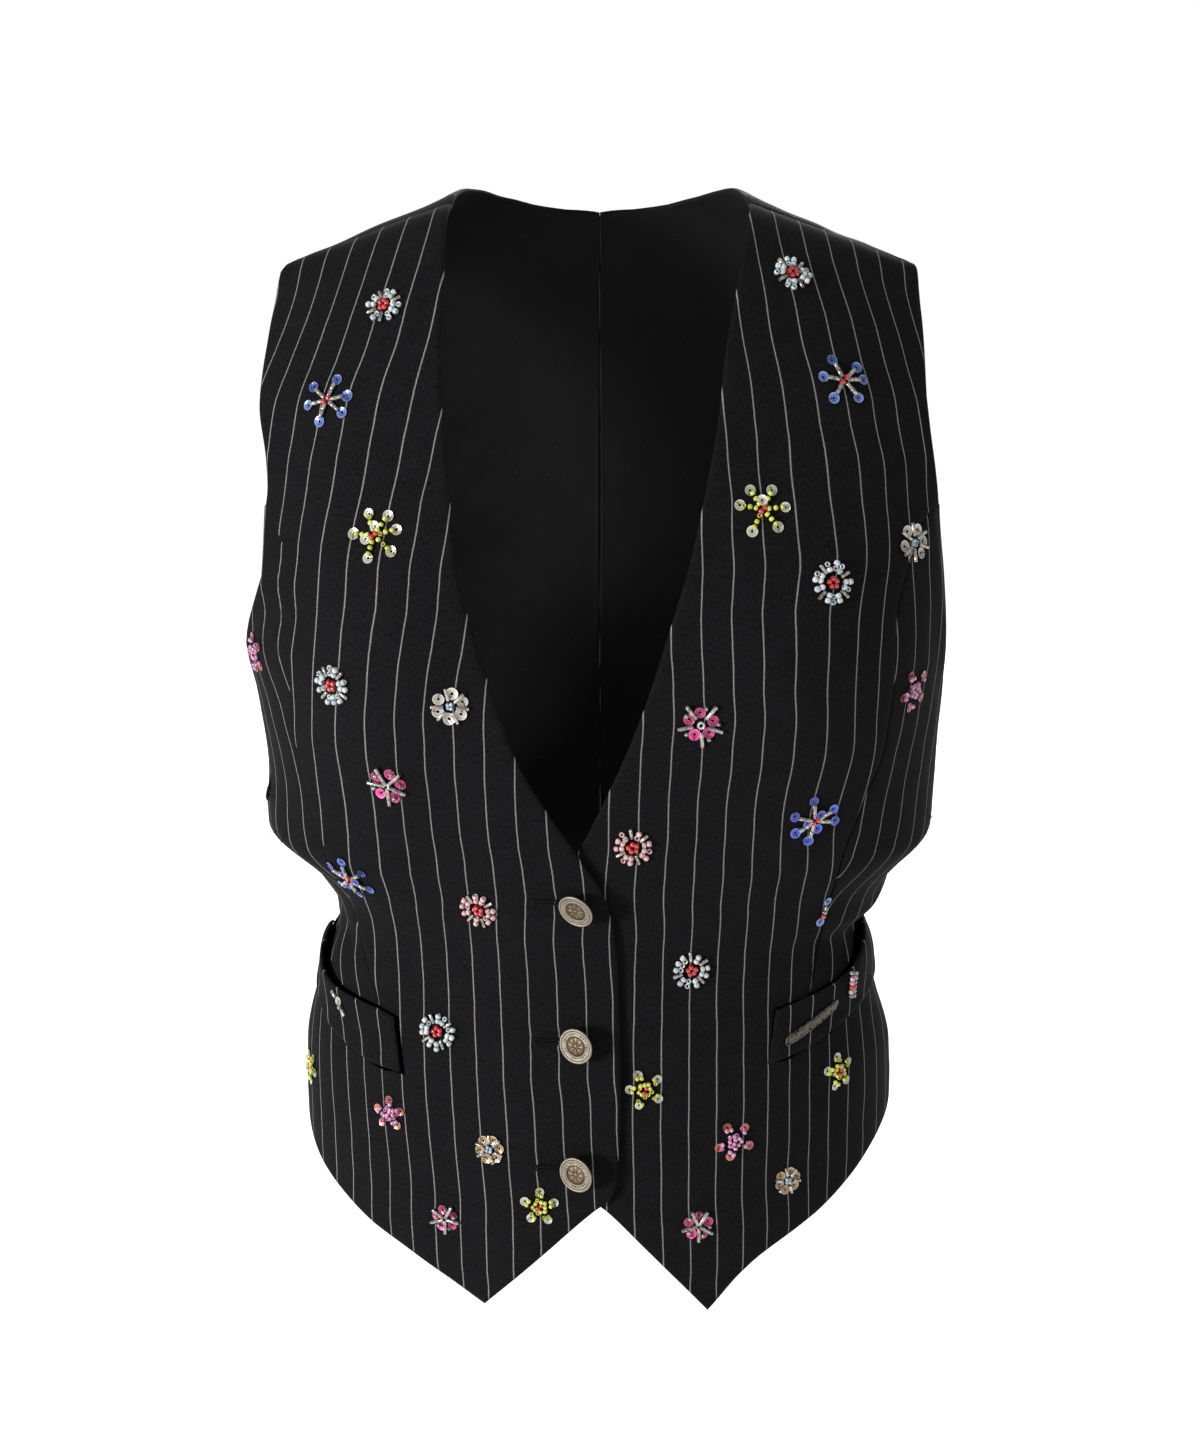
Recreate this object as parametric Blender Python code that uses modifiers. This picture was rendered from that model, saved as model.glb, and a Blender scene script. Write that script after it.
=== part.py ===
"""A woman's fitted waistcoat, worn form: V neck, pointed fronts, two slanted pocket welts,
three metal shank buttons and a plain two-piece back.

Frame: +Z up, the fronts face -Y, +X is the wearer's left. The origin lies between the two
shoulder seams, at their middle height, where the wearer holds the garment up.

The cloth follows one worn form. A place on it is (turn, level): turn is how far round the
body from the centre line, 0 at the centre and 90 degrees at the side seam, and level is the
height in mm. Every panel is a patch of that form between its own cut edges.
"""

import math

import bpy
import bmesh
from mathutils import Matrix, Vector

MM = 0.001
RIGHT, LEFT = -1, 1                  # the wearer's right is -X

# ---------------------------------------------------------------- driving sizes, mm
CLOTH_WALL = 1.8                     # suiting with its lining
WELT_WALL = 1.5
SEAM_GAP = 0.4                       # between cloth panels that are sewn together
SHOULDER_SETBACK = 0.9               # the back starts this far behind the shoulder seam line
SEAT_GAP = 0.55                      # between the front and what lies on it
LAP_LIFT = 3.6                       # the right front rides this far over the left
BUTTON_LINE_X = -9.0                 # the fastening line, a little to the wearer's right
SHOULDER_MID = 111.0                 # reach from the neck centre at which the slope is zero
NECK_REACH = 40.0                    # rounds the slope off across the neck
CUP_X, CUP_WIDTH = 90.0, 40.0        # fullest place of each bust cup, and its spread
DART_TOP = -115.0                    # level where the dart leaves the armhole
DART_DEPTH = 0.7
DART_FADE = (-345.0, 30.0)           # the groove starts at this level and is full this much higher
LAP_EDGE, LAP_FADE_X = -75.0, 40.0   # x where the lap's lift starts, and how far to its full lift
LAP_TOP, LAP_FADE = -170.0, 60.0     # level where the lift ends upward, and its run below that
HEM_FADE = 4                         # how fast the pointed hem stops bending the rows
HEM_POINT_AT = 0.4                   # column of the hem's point in the main part of a front
SIDE_ROWS = ((0.0, 0.0), (0.43, 0.72), (1.0, 1.0))   # keeps the flank's rows level at the waist
UNDER_ARM_BEND = 0.72                # column where the armhole turns in to the side seam
UNDER_ARM_RISE = 31.0                # height of that turn above the side seam's top
UNDER_ARM_Z = -200.0                 # below it the backs stay behind the side seam

# ---------------------------------------------------------------- the worn form, mm
# level: name of the section; height, slope: its height, and its fall towards the shoulder tip;
# right, left: half widths; depth: y on the centre line; side: y at the side; square: 2 is an
# ellipse, more is flatter in front; cup: how far the bust cup stands out
FORM_COLUMNS = ("level", "height", "slope", "right", "left", "depth", "side", "square", "cup")
FRONT_FORM = (
    (-490, -490, 0.00, 149, 147, -100, 0, 2.10, 0),
    (-450, -450, 0.00, 149, 147, -99, 0, 2.10, 0),
    (-415, -415, 0.00, 148.5, 147, -96, 0, 2.15, 0),
    (-385, -385, 0.00, 147.5, 145.5, -92, 0, 2.20, 0),
    (-350, -350, 0.00, 139.0, 135.5, -87, 0, 2.35, 0),
    (-335, -335, 0.00, 136.0, 133.5, -85.3, 0, 2.42, 0),
    (-318, -318, 0.00, 128.5, 127.8, -84, 0, 2.50, 0),
    (-308, -308, 0.00, 130.0, 137.8, -85.3, 0, 2.47, 0),
    (-295, -295, 0.00, 138.5, 143.0, -88, 0, 2.40, 0),
    (-270, -270, 0.00, 161, 161, -94, 0, 2.35, 1),
    (-240, -240, 0.00, 159, 161, -99, 0, 2.40, 4),
    (-205, -205, 0.00, 162, 162, -105, 0, 2.45, 7),
    (-180, -180, 0.00, 167, 164, -107, 0, 2.50, 8),
    (-150, -150, 0.00, 169, 165, -104, 0, 2.45, 6),
    (-115, -115, 0.00, 171, 166, -96, 0, 2.40, 2),
    (-80, -80, 0.07, 172, 165, -85, -1, 2.40, 0),
    (-50, -49.5, 0.22, 166, 160, -72, -2, 2.40, 0),
    (-28, -27, 0.32, 157, 153, -56, -3, 2.40, 0),
    (-12, -10.5, 0.37, 150, 149, -36, -4, 2.40, 0),
    (-3, -1.0, 0.38, 149, 148, -19, -5, 2.40, 0),
    (0, 2, 0.38, 149, 148, -5, -5, 2.40, 0),
)
BACK_FORM = (
    (-425, -425, 0.00, 148.5, 147, 99, 0, 2.20, 0),
    (-385, -385, 0.00, 147.5, 145.5, 90, 0, 2.20, 0),
    (-350, -350, 0.00, 139.0, 135.5, 80, 0, 2.30, 0),
    (-335, -335, 0.00, 136.0, 133.5, 76.3, 0, 2.35, 0),
    (-318, -318, 0.00, 128.5, 127.8, 74, 0, 2.40, 0),
    (-308, -308, 0.00, 130.0, 137.8, 74.6, 0, 2.40, 0),
    (-295, -295, 0.00, 138.5, 143.0, 77, 0, 2.40, 0),
    (-270, -270, 0.00, 161, 161, 82, 0, 2.40, 0),
    (-240, -240, 0.00, 160, 161, 88, 0, 2.40, 0),
    (-200, -200, 0.00, 158, 158, 94, 0, 2.40, 0),
    (-160, -160, 0.00, 156, 156, 97, 0, 2.40, 0),
    (-110, -110, 0.05, 157, 157, 95, 1, 2.40, 0),
    (-60, -61, 0.22, 155, 155, 87, 4, 2.40, 0),
    (-30, -33, 0.36, 153, 153, 77, 9, 2.40, 0),
    (-12, -17, 0.46, 152, 152, 68, 13, 2.40, 0),
    (4, -6, 0.52, 151, 151, 54, 15, 2.40, 0),
    (23, 1, 0.54, 150, 150, 37, 14, 2.40, 0),
    (42, 4, 0.50, 150, 150, 19, 8, 2.40, 0),
    (57, 4, 0.43, 149, 149, 4, 0, 2.40, 0),
    (66, 2, 0.38, 149, 148, -5, -5, 2.40, 0),
)

# ---------------------------------------------------------------- cut edges
# Front opening of each side: (level, x), from the hem corner up the lap and the neck edge.
NECK_EDGE = {
    RIGHT: ((-426, 4.5), (-418, 7.5), (-379, 9.3), (-315, 7.8), (-283, 2.4), (-262, -9.2),
            (-240, -23.1), (-213, -36.7), (-181, -47.1), (-152, -55.6), (-135, -59.4),
            (-99, -63.1), (-73, -65.9), (-53, -66.7), (-32, -66.0), (-8, -67.0), (0, -66.5)),
    LEFT: ((-411, -25.0), (-400, -26.5), (-320, -26.5), (-292, -24.0), (-275, -17.5),
           (-257, -7.3), (-232, 4.3), (-199, 17.2), (-159, 29.7), (-135, 37.0), (-107, 43.5),
           (-76, 49.9), (-60, 52.0), (-33, 58.4), (-18, 61.9), (-8, 64.9), (0, 66.8)),
}
# Front armhole from the dart's top to the shoulder tip, and below it to the side seam: (level, x).
ARM_EDGE = {
    RIGHT: ((-270, -161.0), (-247, -157.6), (-226, -156.6), (-212, -158.6), (-190, -161.2),
            (-180, -161.2), (-168, -158.4), (-152, -151.2), (-146, -148.4), (-121, -146.3),
            (-108, -144.8), (-94, -145.7), (-69, -148.2), (-50, -147.8), (-24, -146.5),
            (-3, -144.0), (0, -142.0)),
    LEFT: ((-279, 157.0), (-257, 160.4), (-226, 160.0), (-198, 158.6), (-165, 156.2),
           (-136, 152.0), (-117, 149.3), (-100, 147.2), (-74, 143.5), (-61, 142.5),
           (-39, 143.0), (-14, 143.2), (0, 143.0)),
}
# The dart from the hem to the armhole: (level, x). Below the welt it is only the cloth's grain.
DART = {
    RIGHT: ((-455, -108.0), (-400, -106.0), (-344, -103.7), (-334, -107.0), (-300, -117.5),
            (-267, -125.0), (-247, -131.0), (-229, -133.6), (-215, -136.0), (-189, -135.6),
            (-166, -134.6), (-137, -134.4), (-127, -138.4), (-115, -145.5)),
    LEFT: ((-448, 103.0), (-400, 101.0), (-338, 98.0), (-332, 99.0), (-299, 103.5),
           (-268, 109.0), (-242, 117.0), (-217, 125.0), (-186, 127.0), (-162, 127.0),
           (-140, 132.4), (-120, 140.8), (-115, 149.0)),
}
FRONT_UPPER_ROWS = (-104, -92, -80, -69, -59, -49, -40, -32, -24, -17, -11, -6, -2.5, -0.7, 0)
# Hem: (turn in degrees, level); its corner at the front opening, the point, then up to the side.
HEM_INNER = {
    RIGHT: ((-1.6, -426), (0.9, -432), (19.8, -480)),
    LEFT: ((-9.3, -411), (0.0, -432), (6.8, -451), (18.4, -484)),
}
HEM_OUTER = {
    RIGHT: ((19.8, -480), (28, -469), (39, -456), (53, -445), (61, -439), (74, -429),
            (90, -420)),
    LEFT: ((18.4, -484), (25, -467), (30, -458), (47, -440), (60, -428), (70, -420), (90, -410)),
}
BACK_HEM = ((0, -410), (30, -411), (60, -413), (90, -415))
SIDE_TOP = {RIGHT: -270, LEFT: -279}
SIDE_HEM = {RIGHT: -420, LEFT: -410}
# Back neck edge and back armhole: (level, distance from the centre back).
NAPE = -12.0
UPPER_BACK = (-65, -50, -38, -28, -20, -15, NAPE)
OVER_SHOULDER = (-11.2, -10, -8, -5, -1, 4, 10, 17, 25, 34, 43, 52, 60, 66)
BACK_NECK = ((-12, 0.2), (-9, 18.0), (-1, 37.0), (12, 50.0), (30, 59.0), (50, 64.5), (66, 66.6))
BACK_ARM = ((-250, 155.0), (-240, 153.5), (-200, 147.0), (-160, 141.0), (-110, 136.0), (-60, 134.5),
            (-30, 135.5), (4, 138.0), (40, 140.5), (66, 141.5))

# Soft folds: (turn and level of each end), half width and depth in mm, on each front.
MM_A_DEGREE = 1.9                    # a degree of turn round the side, for measuring folds
FOLD_COLUMNS = ("turn_a", "level_a", "turn_b", "level_b", "half_width", "depth")
FOLDS = {
    "front": (
        (88, -282, 46, -316, 20, 1.6),
        (30, -330, 70, -372, 18, 1.0),
        (40, -70, 58, -112, 16, 1.2),
    ),
    "back": (
        (84, -292, 40, -322, 20, 1.6),
        (60, -338, 14, -326, 18, 1.2),
        (52, -90, 66, -170, 18, 1.5),
    ),
}

# Pocket welts: x of the inner end, and the levels of top and foot from there (0) to the side (1).
WELTS = {
    RIGHT: {"inner_x": 94.5,
            "top": ((0, -349), (0.11, -346.4), (0.25, -345), (0.43, -343.5), (0.6, -340), (0.75, -333),
                    (1, -327)),
            "foot": ((0, -374.3), (0.13, -373.3), (0.3, -369.2), (0.5, -363), (0.7, -356.5), (1, -350))},
    LEFT: {"inner_x": 80.0,
           "top": ((0, -343.5), (0.2, -339.5), (0.42, -334.5), (0.55, -329.5), (0.75, -322), (1, -318)),
           "foot": ((0, -368.5), (0.13, -365.3), (0.29, -360), (0.47, -355), (0.88, -347.4), (1, -346))},
}
WELT_OUTER_TURN = 88.8
WELT_GAPE = 2.2                      # how far the mouth stands off where it gapes most
WELT_GAPE_AT = 0.62                  # that place along the welt
WELT_CLOSED_AT = 0.94                # and where it lies flat again, towards the side
WELT_GAPE_POWER = 1.6                # more keeps the foot flat and opens only the mouth
WELT_INNER_LEAN = 3.0                # the inner end leans in this much down to the foot

# Buttons
BUTTON_LEVELS = (-284, -352.5, -411)
BUTTON_RADIUS = 8.3
BUTTON_RIM = 1.3
BUTTON_THICK = 1.7
BUTTON_DISH = 0.5
SHANK_RADIUS = 2.3
BUTTON_BOSS = 0.25                   # low boss in the middle of the dish
SHANK_REACH = 5.0
SHANK_FOOT_ANGLES = (0.0, 0.45, 0.9, 1.3)
BUTTON_TURN, BUTTON_NOD = 27.0, 6.0  # degrees: faces lean to the buttonhole and down
BUTTON_STEPS = 28

# Metal bar on the left welt
PLATE_SPAN = (0.055, 0.335)           # its two ends along the welt
PLATE_RISE = (0.335, 0.57)           # their heights up the welt
PLATE_HALF = 0.112                   # half its own height, as a share of the welt's
PLATE_WALL = 1.0
PLATE_SEAT = 0.35                    # between the bar and the welt
PLATE_ROUND_FROM, PLATE_END = 0.86, 0.4   # its ends round off from here to this share of its height


# ---------------------------------------------------------------- curves and the form
def smooth_curve(knots):
    """Return a function through (position, value) knots that never overshoots them."""
    xs = [knot[0] for knot in knots]
    ys = [knot[1] for knot in knots]
    rises = [(yb - ya) / (xb - xa) for xa, xb, ya, yb in zip(xs, xs[1:], ys, ys[1:])]
    slopes = [rises[0]]
    for before, after in zip(rises, rises[1:]):
        slopes.append(0.0 if before * after <= 0 else 2 * before * after / (before + after))
    slopes.append(rises[-1])

    def value(x):
        x = min(max(x, xs[0]), xs[-1])
        i = max(k for k in range(len(xs) - 1) if xs[k] <= x or k == 0)
        gap = xs[i + 1] - xs[i]
        t = (x - xs[i]) / gap
        return ((1 + 2 * t) * (1 - t) ** 2 * ys[i] + t * (1 - t) ** 2 * gap * slopes[i]
                + t * t * (3 - 2 * t) * ys[i + 1] + t * t * (t - 1) * gap * slopes[i + 1])

    return value


def smooth_step(value):
    value = min(max(value, 0.0), 1.0)
    return value * value * (3 - 2 * value)


def lerp(a, b, t):
    return a + (b - a) * t


def read_form(rows):
    """One smooth curve over level for each named column of a form table."""
    return {name: smooth_curve([(row[0], row[k]) for row in rows])
            for k, name in enumerate(FORM_COLUMNS) if k}


FRONT, BACK = read_form(FRONT_FORM), read_form(BACK_FORM)


def half_width(form, x_sign, level):
    return form["right" if x_sign < 0 else "left"](level)


def form_point(form, side, turn, level):
    """Bare point of the worn form in mm, before folds and lifts."""
    power = 2.0 / form["square"](level)
    across = math.copysign(abs(math.sin(turn)) ** power, turn)
    forward = max(math.cos(turn), 0.0) ** power
    x_sign = side if across >= 0 else -side
    x = x_sign * abs(across) * half_width(form, x_sign, level)
    edge, depth = form["side"](level), form["depth"](level)
    cup = form["cup"](level) * math.exp(-((abs(x) - CUP_X) / CUP_WIDTH) ** 2)
    y = edge + (depth - edge) * forward - cup
    z = form["height"](level) - form["slope"](level) * (math.hypot(x, NECK_REACH) - SHOULDER_MID)
    return Vector((x, y, z))


def form_normal(form, side, turn, level):
    """Outward unit normal of the worn form."""
    step_turn, step_level = 0.004, 0.4
    turn = min(turn, math.pi / 2 - step_turn)
    ahead, behind = (form_point(form, side, turn + k * step_turn, level) for k in (1, -1))
    above, below = (form_point(form, side, turn, level + k * step_level) for k in (1, -1))
    along, up = ahead - behind, above - below
    normal = along.cross(up).normalized()
    outward = side if form is FRONT else -side
    return normal * outward


def turn_at(form, side, x, level):
    """Turn at which the form reaches x, negative past the centre line."""
    x_sign = -1 if x < 0 else 1
    reach = min(abs(x) / half_width(form, x_sign, level), 1.0)
    turn = math.asin(reach ** (form["square"](level) / 2.0))
    return turn if x_sign == side else -turn


def fold_depth(name, turn, level):
    """Sum of the soft troughs at a place, in mm."""
    total = 0.0
    for row in FOLDS[name]:
        fold = dict(zip(FOLD_COLUMNS, row))
        a = Vector((fold["turn_a"] * MM_A_DEGREE, fold["level_a"]))
        b = Vector((fold["turn_b"] * MM_A_DEGREE, fold["level_b"]))
        place = Vector((math.degrees(turn) * MM_A_DEGREE, level))
        t = (place - a).dot(b - a) / (b - a).length_squared
        taper = math.sin(math.pi * min(max(t, 0.0), 1.0)) ** 0.7 if 0 < t < 1 else 0.0
        off = (place - a.lerp(b, t)).length
        total += fold["depth"] * taper * math.exp(-(off / fold["half_width"]) ** 2)
    return total


def lap_lift(side, x, level):
    """The right front rides over the left along the fastening line."""
    if side == LEFT:
        return 0.0
    return LAP_LIFT * smooth_step((x - LAP_EDGE) / LAP_FADE_X) * smooth_step((LAP_TOP - level) / LAP_FADE)


def front_point(side, turn, level, lift=0.0):
    """Point on a front's outer face, with its folds and lap, moved out by lift."""
    point = form_point(FRONT, side, turn, level)
    off = lift + lap_lift(side, point.x, level) - fold_depth("front", turn, level)
    return point + form_normal(FRONT, side, turn, level) * off


def back_point(side, turn, level):
    point = form_point(BACK, side, turn, level)
    return point - form_normal(BACK, side, turn, level) * fold_depth("back", turn, level)


# ---------------------------------------------------------------- patches
def patch(inner, outer, foot, top, across, up):
    """Place (turn, level) in a patch between four edges that meet at their corners."""
    low, high = (1 - up) ** HEM_FADE, up ** 2

    def axis(k):
        body = lerp(inner(up)[k], outer(up)[k], across)
        sag = foot(across)[k] - lerp(foot(0.0)[k], foot(1.0)[k], across)
        rise = top(across)[k] - lerp(top(0.0)[k], top(1.0)[k], across)
        return body + low * sag + high * rise

    return axis(0), axis(1)


def add_grid(bm, points):
    """Faces over a table of points, wound as the table runs: rows up, columns across."""
    rows = [[bm.verts.new(point * MM) for point in row] for row in points]
    for low, high in zip(rows, rows[1:]):
        for k in range(len(low) - 1):
            bm.faces.new((low[k], low[k + 1], high[k + 1], high[k]))


def cloth_object(name, grids, material, wall, outward, collection, side_out=-1.0):
    """One closed cloth wall from open grids that share their edge points."""
    bm = bmesh.new()
    for grid in grids:
        add_grid(bm, grid)
    bmesh.ops.remove_doubles(bm, verts=bm.verts, dist=0.00001)
    if outward < 0:
        bmesh.ops.reverse_faces(bm, faces=bm.faces)
    mesh = bpy.data.meshes.new(name)
    bm.to_mesh(mesh)
    bm.free()
    mesh.materials.append(material)
    mesh.shade_smooth()
    mesh.set_sharp_from_angle(angle=math.radians(40))
    obj = bpy.data.objects.new(name, mesh)
    collection.objects.link(obj)
    solid = obj.modifiers.new("wall", "SOLIDIFY")
    solid.thickness = wall * MM
    solid.offset = side_out
    solid.use_even_offset = True
    return obj


def steps(count):
    return [k / count for k in range(count + 1)]


def front_rows(side):
    """Row fractions from hem to shoulder; the dart's top is on one of them."""
    hem = DART[side][0][0]
    split = (DART_TOP - hem) / -hem
    return [split * t for t in steps(26)], [1 - level / hem for level in FRONT_UPPER_ROWS]


def front_edges(side):
    """The four edges of the main part of a front as functions of a 0 to 1 position."""
    neck, arm, dart = (smooth_curve(table[side]) for table in (NECK_EDGE, ARM_EDGE, DART))
    inner_hem = smooth_curve(HEM_INNER[side])
    outer_hem = smooth_curve(HEM_OUTER[side])
    neck_foot, dart_foot = NECK_EDGE[side][0][0], DART[side][0][0]
    point_turn, corner_turn = HEM_OUTER[side][0][0], HEM_INNER[side][0][0]
    dart_turn = math.degrees(turn_at(FRONT, side, dart(dart_foot), dart_foot))

    def opening(up):
        level = lerp(neck_foot, 0.0, up)
        return turn_at(FRONT, side, neck(level), level), level

    def dart_or_arm(up):
        level = lerp(dart_foot, 0.0, up)
        x = dart(level) if level < DART_TOP - 0.01 else arm(level)
        return turn_at(FRONT, side, x, level), level

    def hem(across):
        if across <= HEM_POINT_AT:
            turn = lerp(corner_turn, point_turn, across / HEM_POINT_AT)
            return math.radians(turn), inner_hem(turn)
        turn = lerp(point_turn, dart_turn, (across - HEM_POINT_AT) / (1 - HEM_POINT_AT))
        return math.radians(turn), outer_hem(turn)

    def shoulder(across):
        return turn_at(FRONT, side, lerp(neck(0.0), arm(0.0), across), 0.0), 0.0

    return opening, dart_or_arm, hem, shoulder


def dart_edges(side):
    """The four edges of the part of a front between its dart and the side seam."""
    arm, outer_hem = smooth_curve(ARM_EDGE[side]), smooth_curve(HEM_OUTER[side])
    _, dart_or_arm, hem, _ = front_edges(side)
    dart_foot = DART[side][0][0]
    split = (DART_TOP - dart_foot) / -dart_foot
    first = math.degrees(hem(1.0)[0])
    share = smooth_curve(SIDE_ROWS)

    def dart_line(up):
        return dart_or_arm(up * split)

    def side_seam(up):
        return math.pi / 2, lerp(SIDE_HEM[side], SIDE_TOP[side], share(up))

    def side_hem(across):
        turn = lerp(first, 90.0, across)
        return math.radians(turn), outer_hem(turn)

    def under_arm(across):
        bend = SIDE_TOP[side] + UNDER_ARM_RISE
        if across <= UNDER_ARM_BEND:
            level = lerp(DART_TOP, bend, across / UNDER_ARM_BEND)
            return turn_at(FRONT, side, arm(level), level), level
        # the last stretch runs evenly round to the side seam and levels out
        last = (across - UNDER_ARM_BEND) / (1 - UNDER_ARM_BEND)
        turn = lerp(turn_at(FRONT, side, arm(bend), bend), math.pi / 2, last)
        return turn, SIDE_TOP[side] + UNDER_ARM_RISE * (1 - last) ** 2

    return dart_line, side_seam, side_hem, under_arm


def sew_front(side, name, material, collection):
    low, high = front_rows(side)
    columns = [HEM_POINT_AT * t for t in steps(6)] + [lerp(HEM_POINT_AT, 1.0, t) for t in steps(9)[1:]]
    main_edges = front_edges(side)
    main = []
    for up in low + high:
        row = [patch(*main_edges, across, up) for across in columns]
        main.append([groove_front(side, *place, at_dart=(k == len(row) - 1 and up <= low[-1]))
                     for k, place in enumerate(row)])
    side_edges = dart_edges(side)
    flank = []
    for k in range(len(low)):
        up = k / (len(low) - 1)
        row = [patch(*side_edges, across, up) for across in (*steps(7)[:-1], 0.985, 1.0)]
        flank.append([groove_front(side, *place, at_dart=(i == 0)) for i, place in enumerate(row)])
    return cloth_object(name, (main, flank), material, CLOTH_WALL, side, collection)


def groove_front(side, turn, level, at_dart):
    """Front point with the dart's shallow groove and the side seam's gap."""
    foot, run = DART_FADE
    deep = DART_DEPTH * smooth_step((level - foot) / run) if at_dart else 0.0
    point = front_point(side, turn, level, lift=-deep)
    point.y = min(point.y, -SEAM_GAP / 2) if level < DART_TOP else point.y - SEAM_GAP / 2
    return point


def back_rows(side):
    """Levels of a back panel's rows: even to the nape, then close round the neck and the crest."""
    bend = SIDE_TOP[side] + UNDER_ARM_RISE
    low = [lerp(SIDE_HEM[side], SIDE_TOP[side], t) for t in steps(10)]
    turn_in = [SIDE_TOP[side] + UNDER_ARM_RISE * t * t for t in steps(5)[1:]]
    middle = [lerp(bend, UPPER_BACK[0], t) for t in steps(8)[1:-1]]
    return low + turn_in + middle + [*UPPER_BACK, *OVER_SHOULDER]


def back_edges(side):
    """The four edges of a back panel, as functions of a level or of a 0 to 1 position."""
    neck, arm, hem_curve = (smooth_curve(table) for table in (BACK_NECK, BACK_ARM, BACK_HEM))
    foot, top = SIDE_HEM[side], OVER_SHOULDER[-1]
    bend = SIDE_TOP[side] + UNDER_ARM_RISE

    def centre_and_neck(up):
        level = lerp(foot, top, up) + (BACK_HEM[0][1] - foot) * (1 - up) ** HEM_FADE
        reach = SEAM_GAP / 2 if level <= NAPE else neck(level)
        return turn_at(BACK, side, side * reach, level), level

    def side_and_arm(up):
        level = lerp(foot, top, up)
        held = max(level, bend)
        turn = turn_at(BACK, side, side * arm(held), held)
        left = min(max((level - SIDE_TOP[side]) / UNDER_ARM_RISE, 0.0), 1.0)
        return lerp(math.pi / 2, turn, math.sqrt(left)), level

    def hem(across):
        turn = lerp(0.0, 90.0, across)
        level = hem_curve(turn) + (foot - BACK_HEM[-1][1]) * across ** 2
        return math.radians(turn), level

    def shoulder(across):
        return turn_at(BACK, side, side * lerp(neck(top), arm(top), across), top), top

    return centre_and_neck, side_and_arm, hem, shoulder


def sew_back(side, name, material, collection):
    edges = back_edges(side)
    levels = back_rows(side)
    rows = []
    for level in levels:
        up = (level - levels[0]) / (levels[-1] - levels[0])
        row = [back_point(side, *patch(*edges, across, up)) for across in (*steps(12)[:-1], 0.97, 1.0)]
        for point in row:
            if point.z < UNDER_ARM_Z:
                point.y = max(point.y, SEAM_GAP / 2)
            point.x = side * max(side * point.x, SEAM_GAP / 2)
        rows.append(row)
    for point in rows[-1]:
        point.y += SHOULDER_SETBACK
    return cloth_object(name, (rows,), material, CLOTH_WALL, -side, collection)


def welt_place(side, across, up):
    """Place (turn, level) on a welt: across runs from its inner end, up from its foot."""
    welt = WELTS[side]
    level = lerp(smooth_curve(welt["foot"])(across), smooth_curve(welt["top"])(across), up)
    first = turn_at(FRONT, side, side * (welt["inner_x"] - WELT_INNER_LEAN * (1 - up)), level)
    return lerp(first, math.radians(WELT_OUTER_TURN), across), level


def welt_lift(across, up):
    """How far the welt stands off the front: its mouth gapes towards the side."""
    rest = (across - WELT_GAPE_AT) / (WELT_CLOSED_AT - WELT_GAPE_AT)
    gape = WELT_GAPE * smooth_step(across / WELT_GAPE_AT) * (1 - smooth_step(rest))
    return SEAT_GAP + gape * up ** WELT_GAPE_POWER


def sew_welt(side, name, material, collection):
    rows = [[front_point(side, *welt_place(side, across, up), lift=welt_lift(across, up))
             for across in steps(14)] for up in steps(4)]
    return cloth_object(name, (rows,), material, WELT_WALL, side, collection, side_out=1.0)


def make_plate(name, material, collection):
    """A thin bar bent to the left welt, with rounded ends."""
    rows = []
    for up in steps(4):
        row = []
        for along in steps(12):
            end = abs(2 * along - 1)
            past = max((end - PLATE_ROUND_FROM) / (1 - PLATE_ROUND_FROM), 0.0)
            round_off = math.sqrt(max(1 - past ** 2, PLATE_END ** 2))
            rise = lerp(*PLATE_RISE, along) + PLATE_HALF * (2 * up - 1) * round_off
            across = lerp(*PLATE_SPAN, along)
            lift = welt_lift(across, rise) + WELT_WALL + PLATE_SEAT
            row.append(front_point(LEFT, *welt_place(LEFT, across, rise), lift=lift))
        rows.append(row)
    return cloth_object(name, (rows,), material, PLATE_WALL, LEFT, collection, side_out=1.0)


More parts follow.
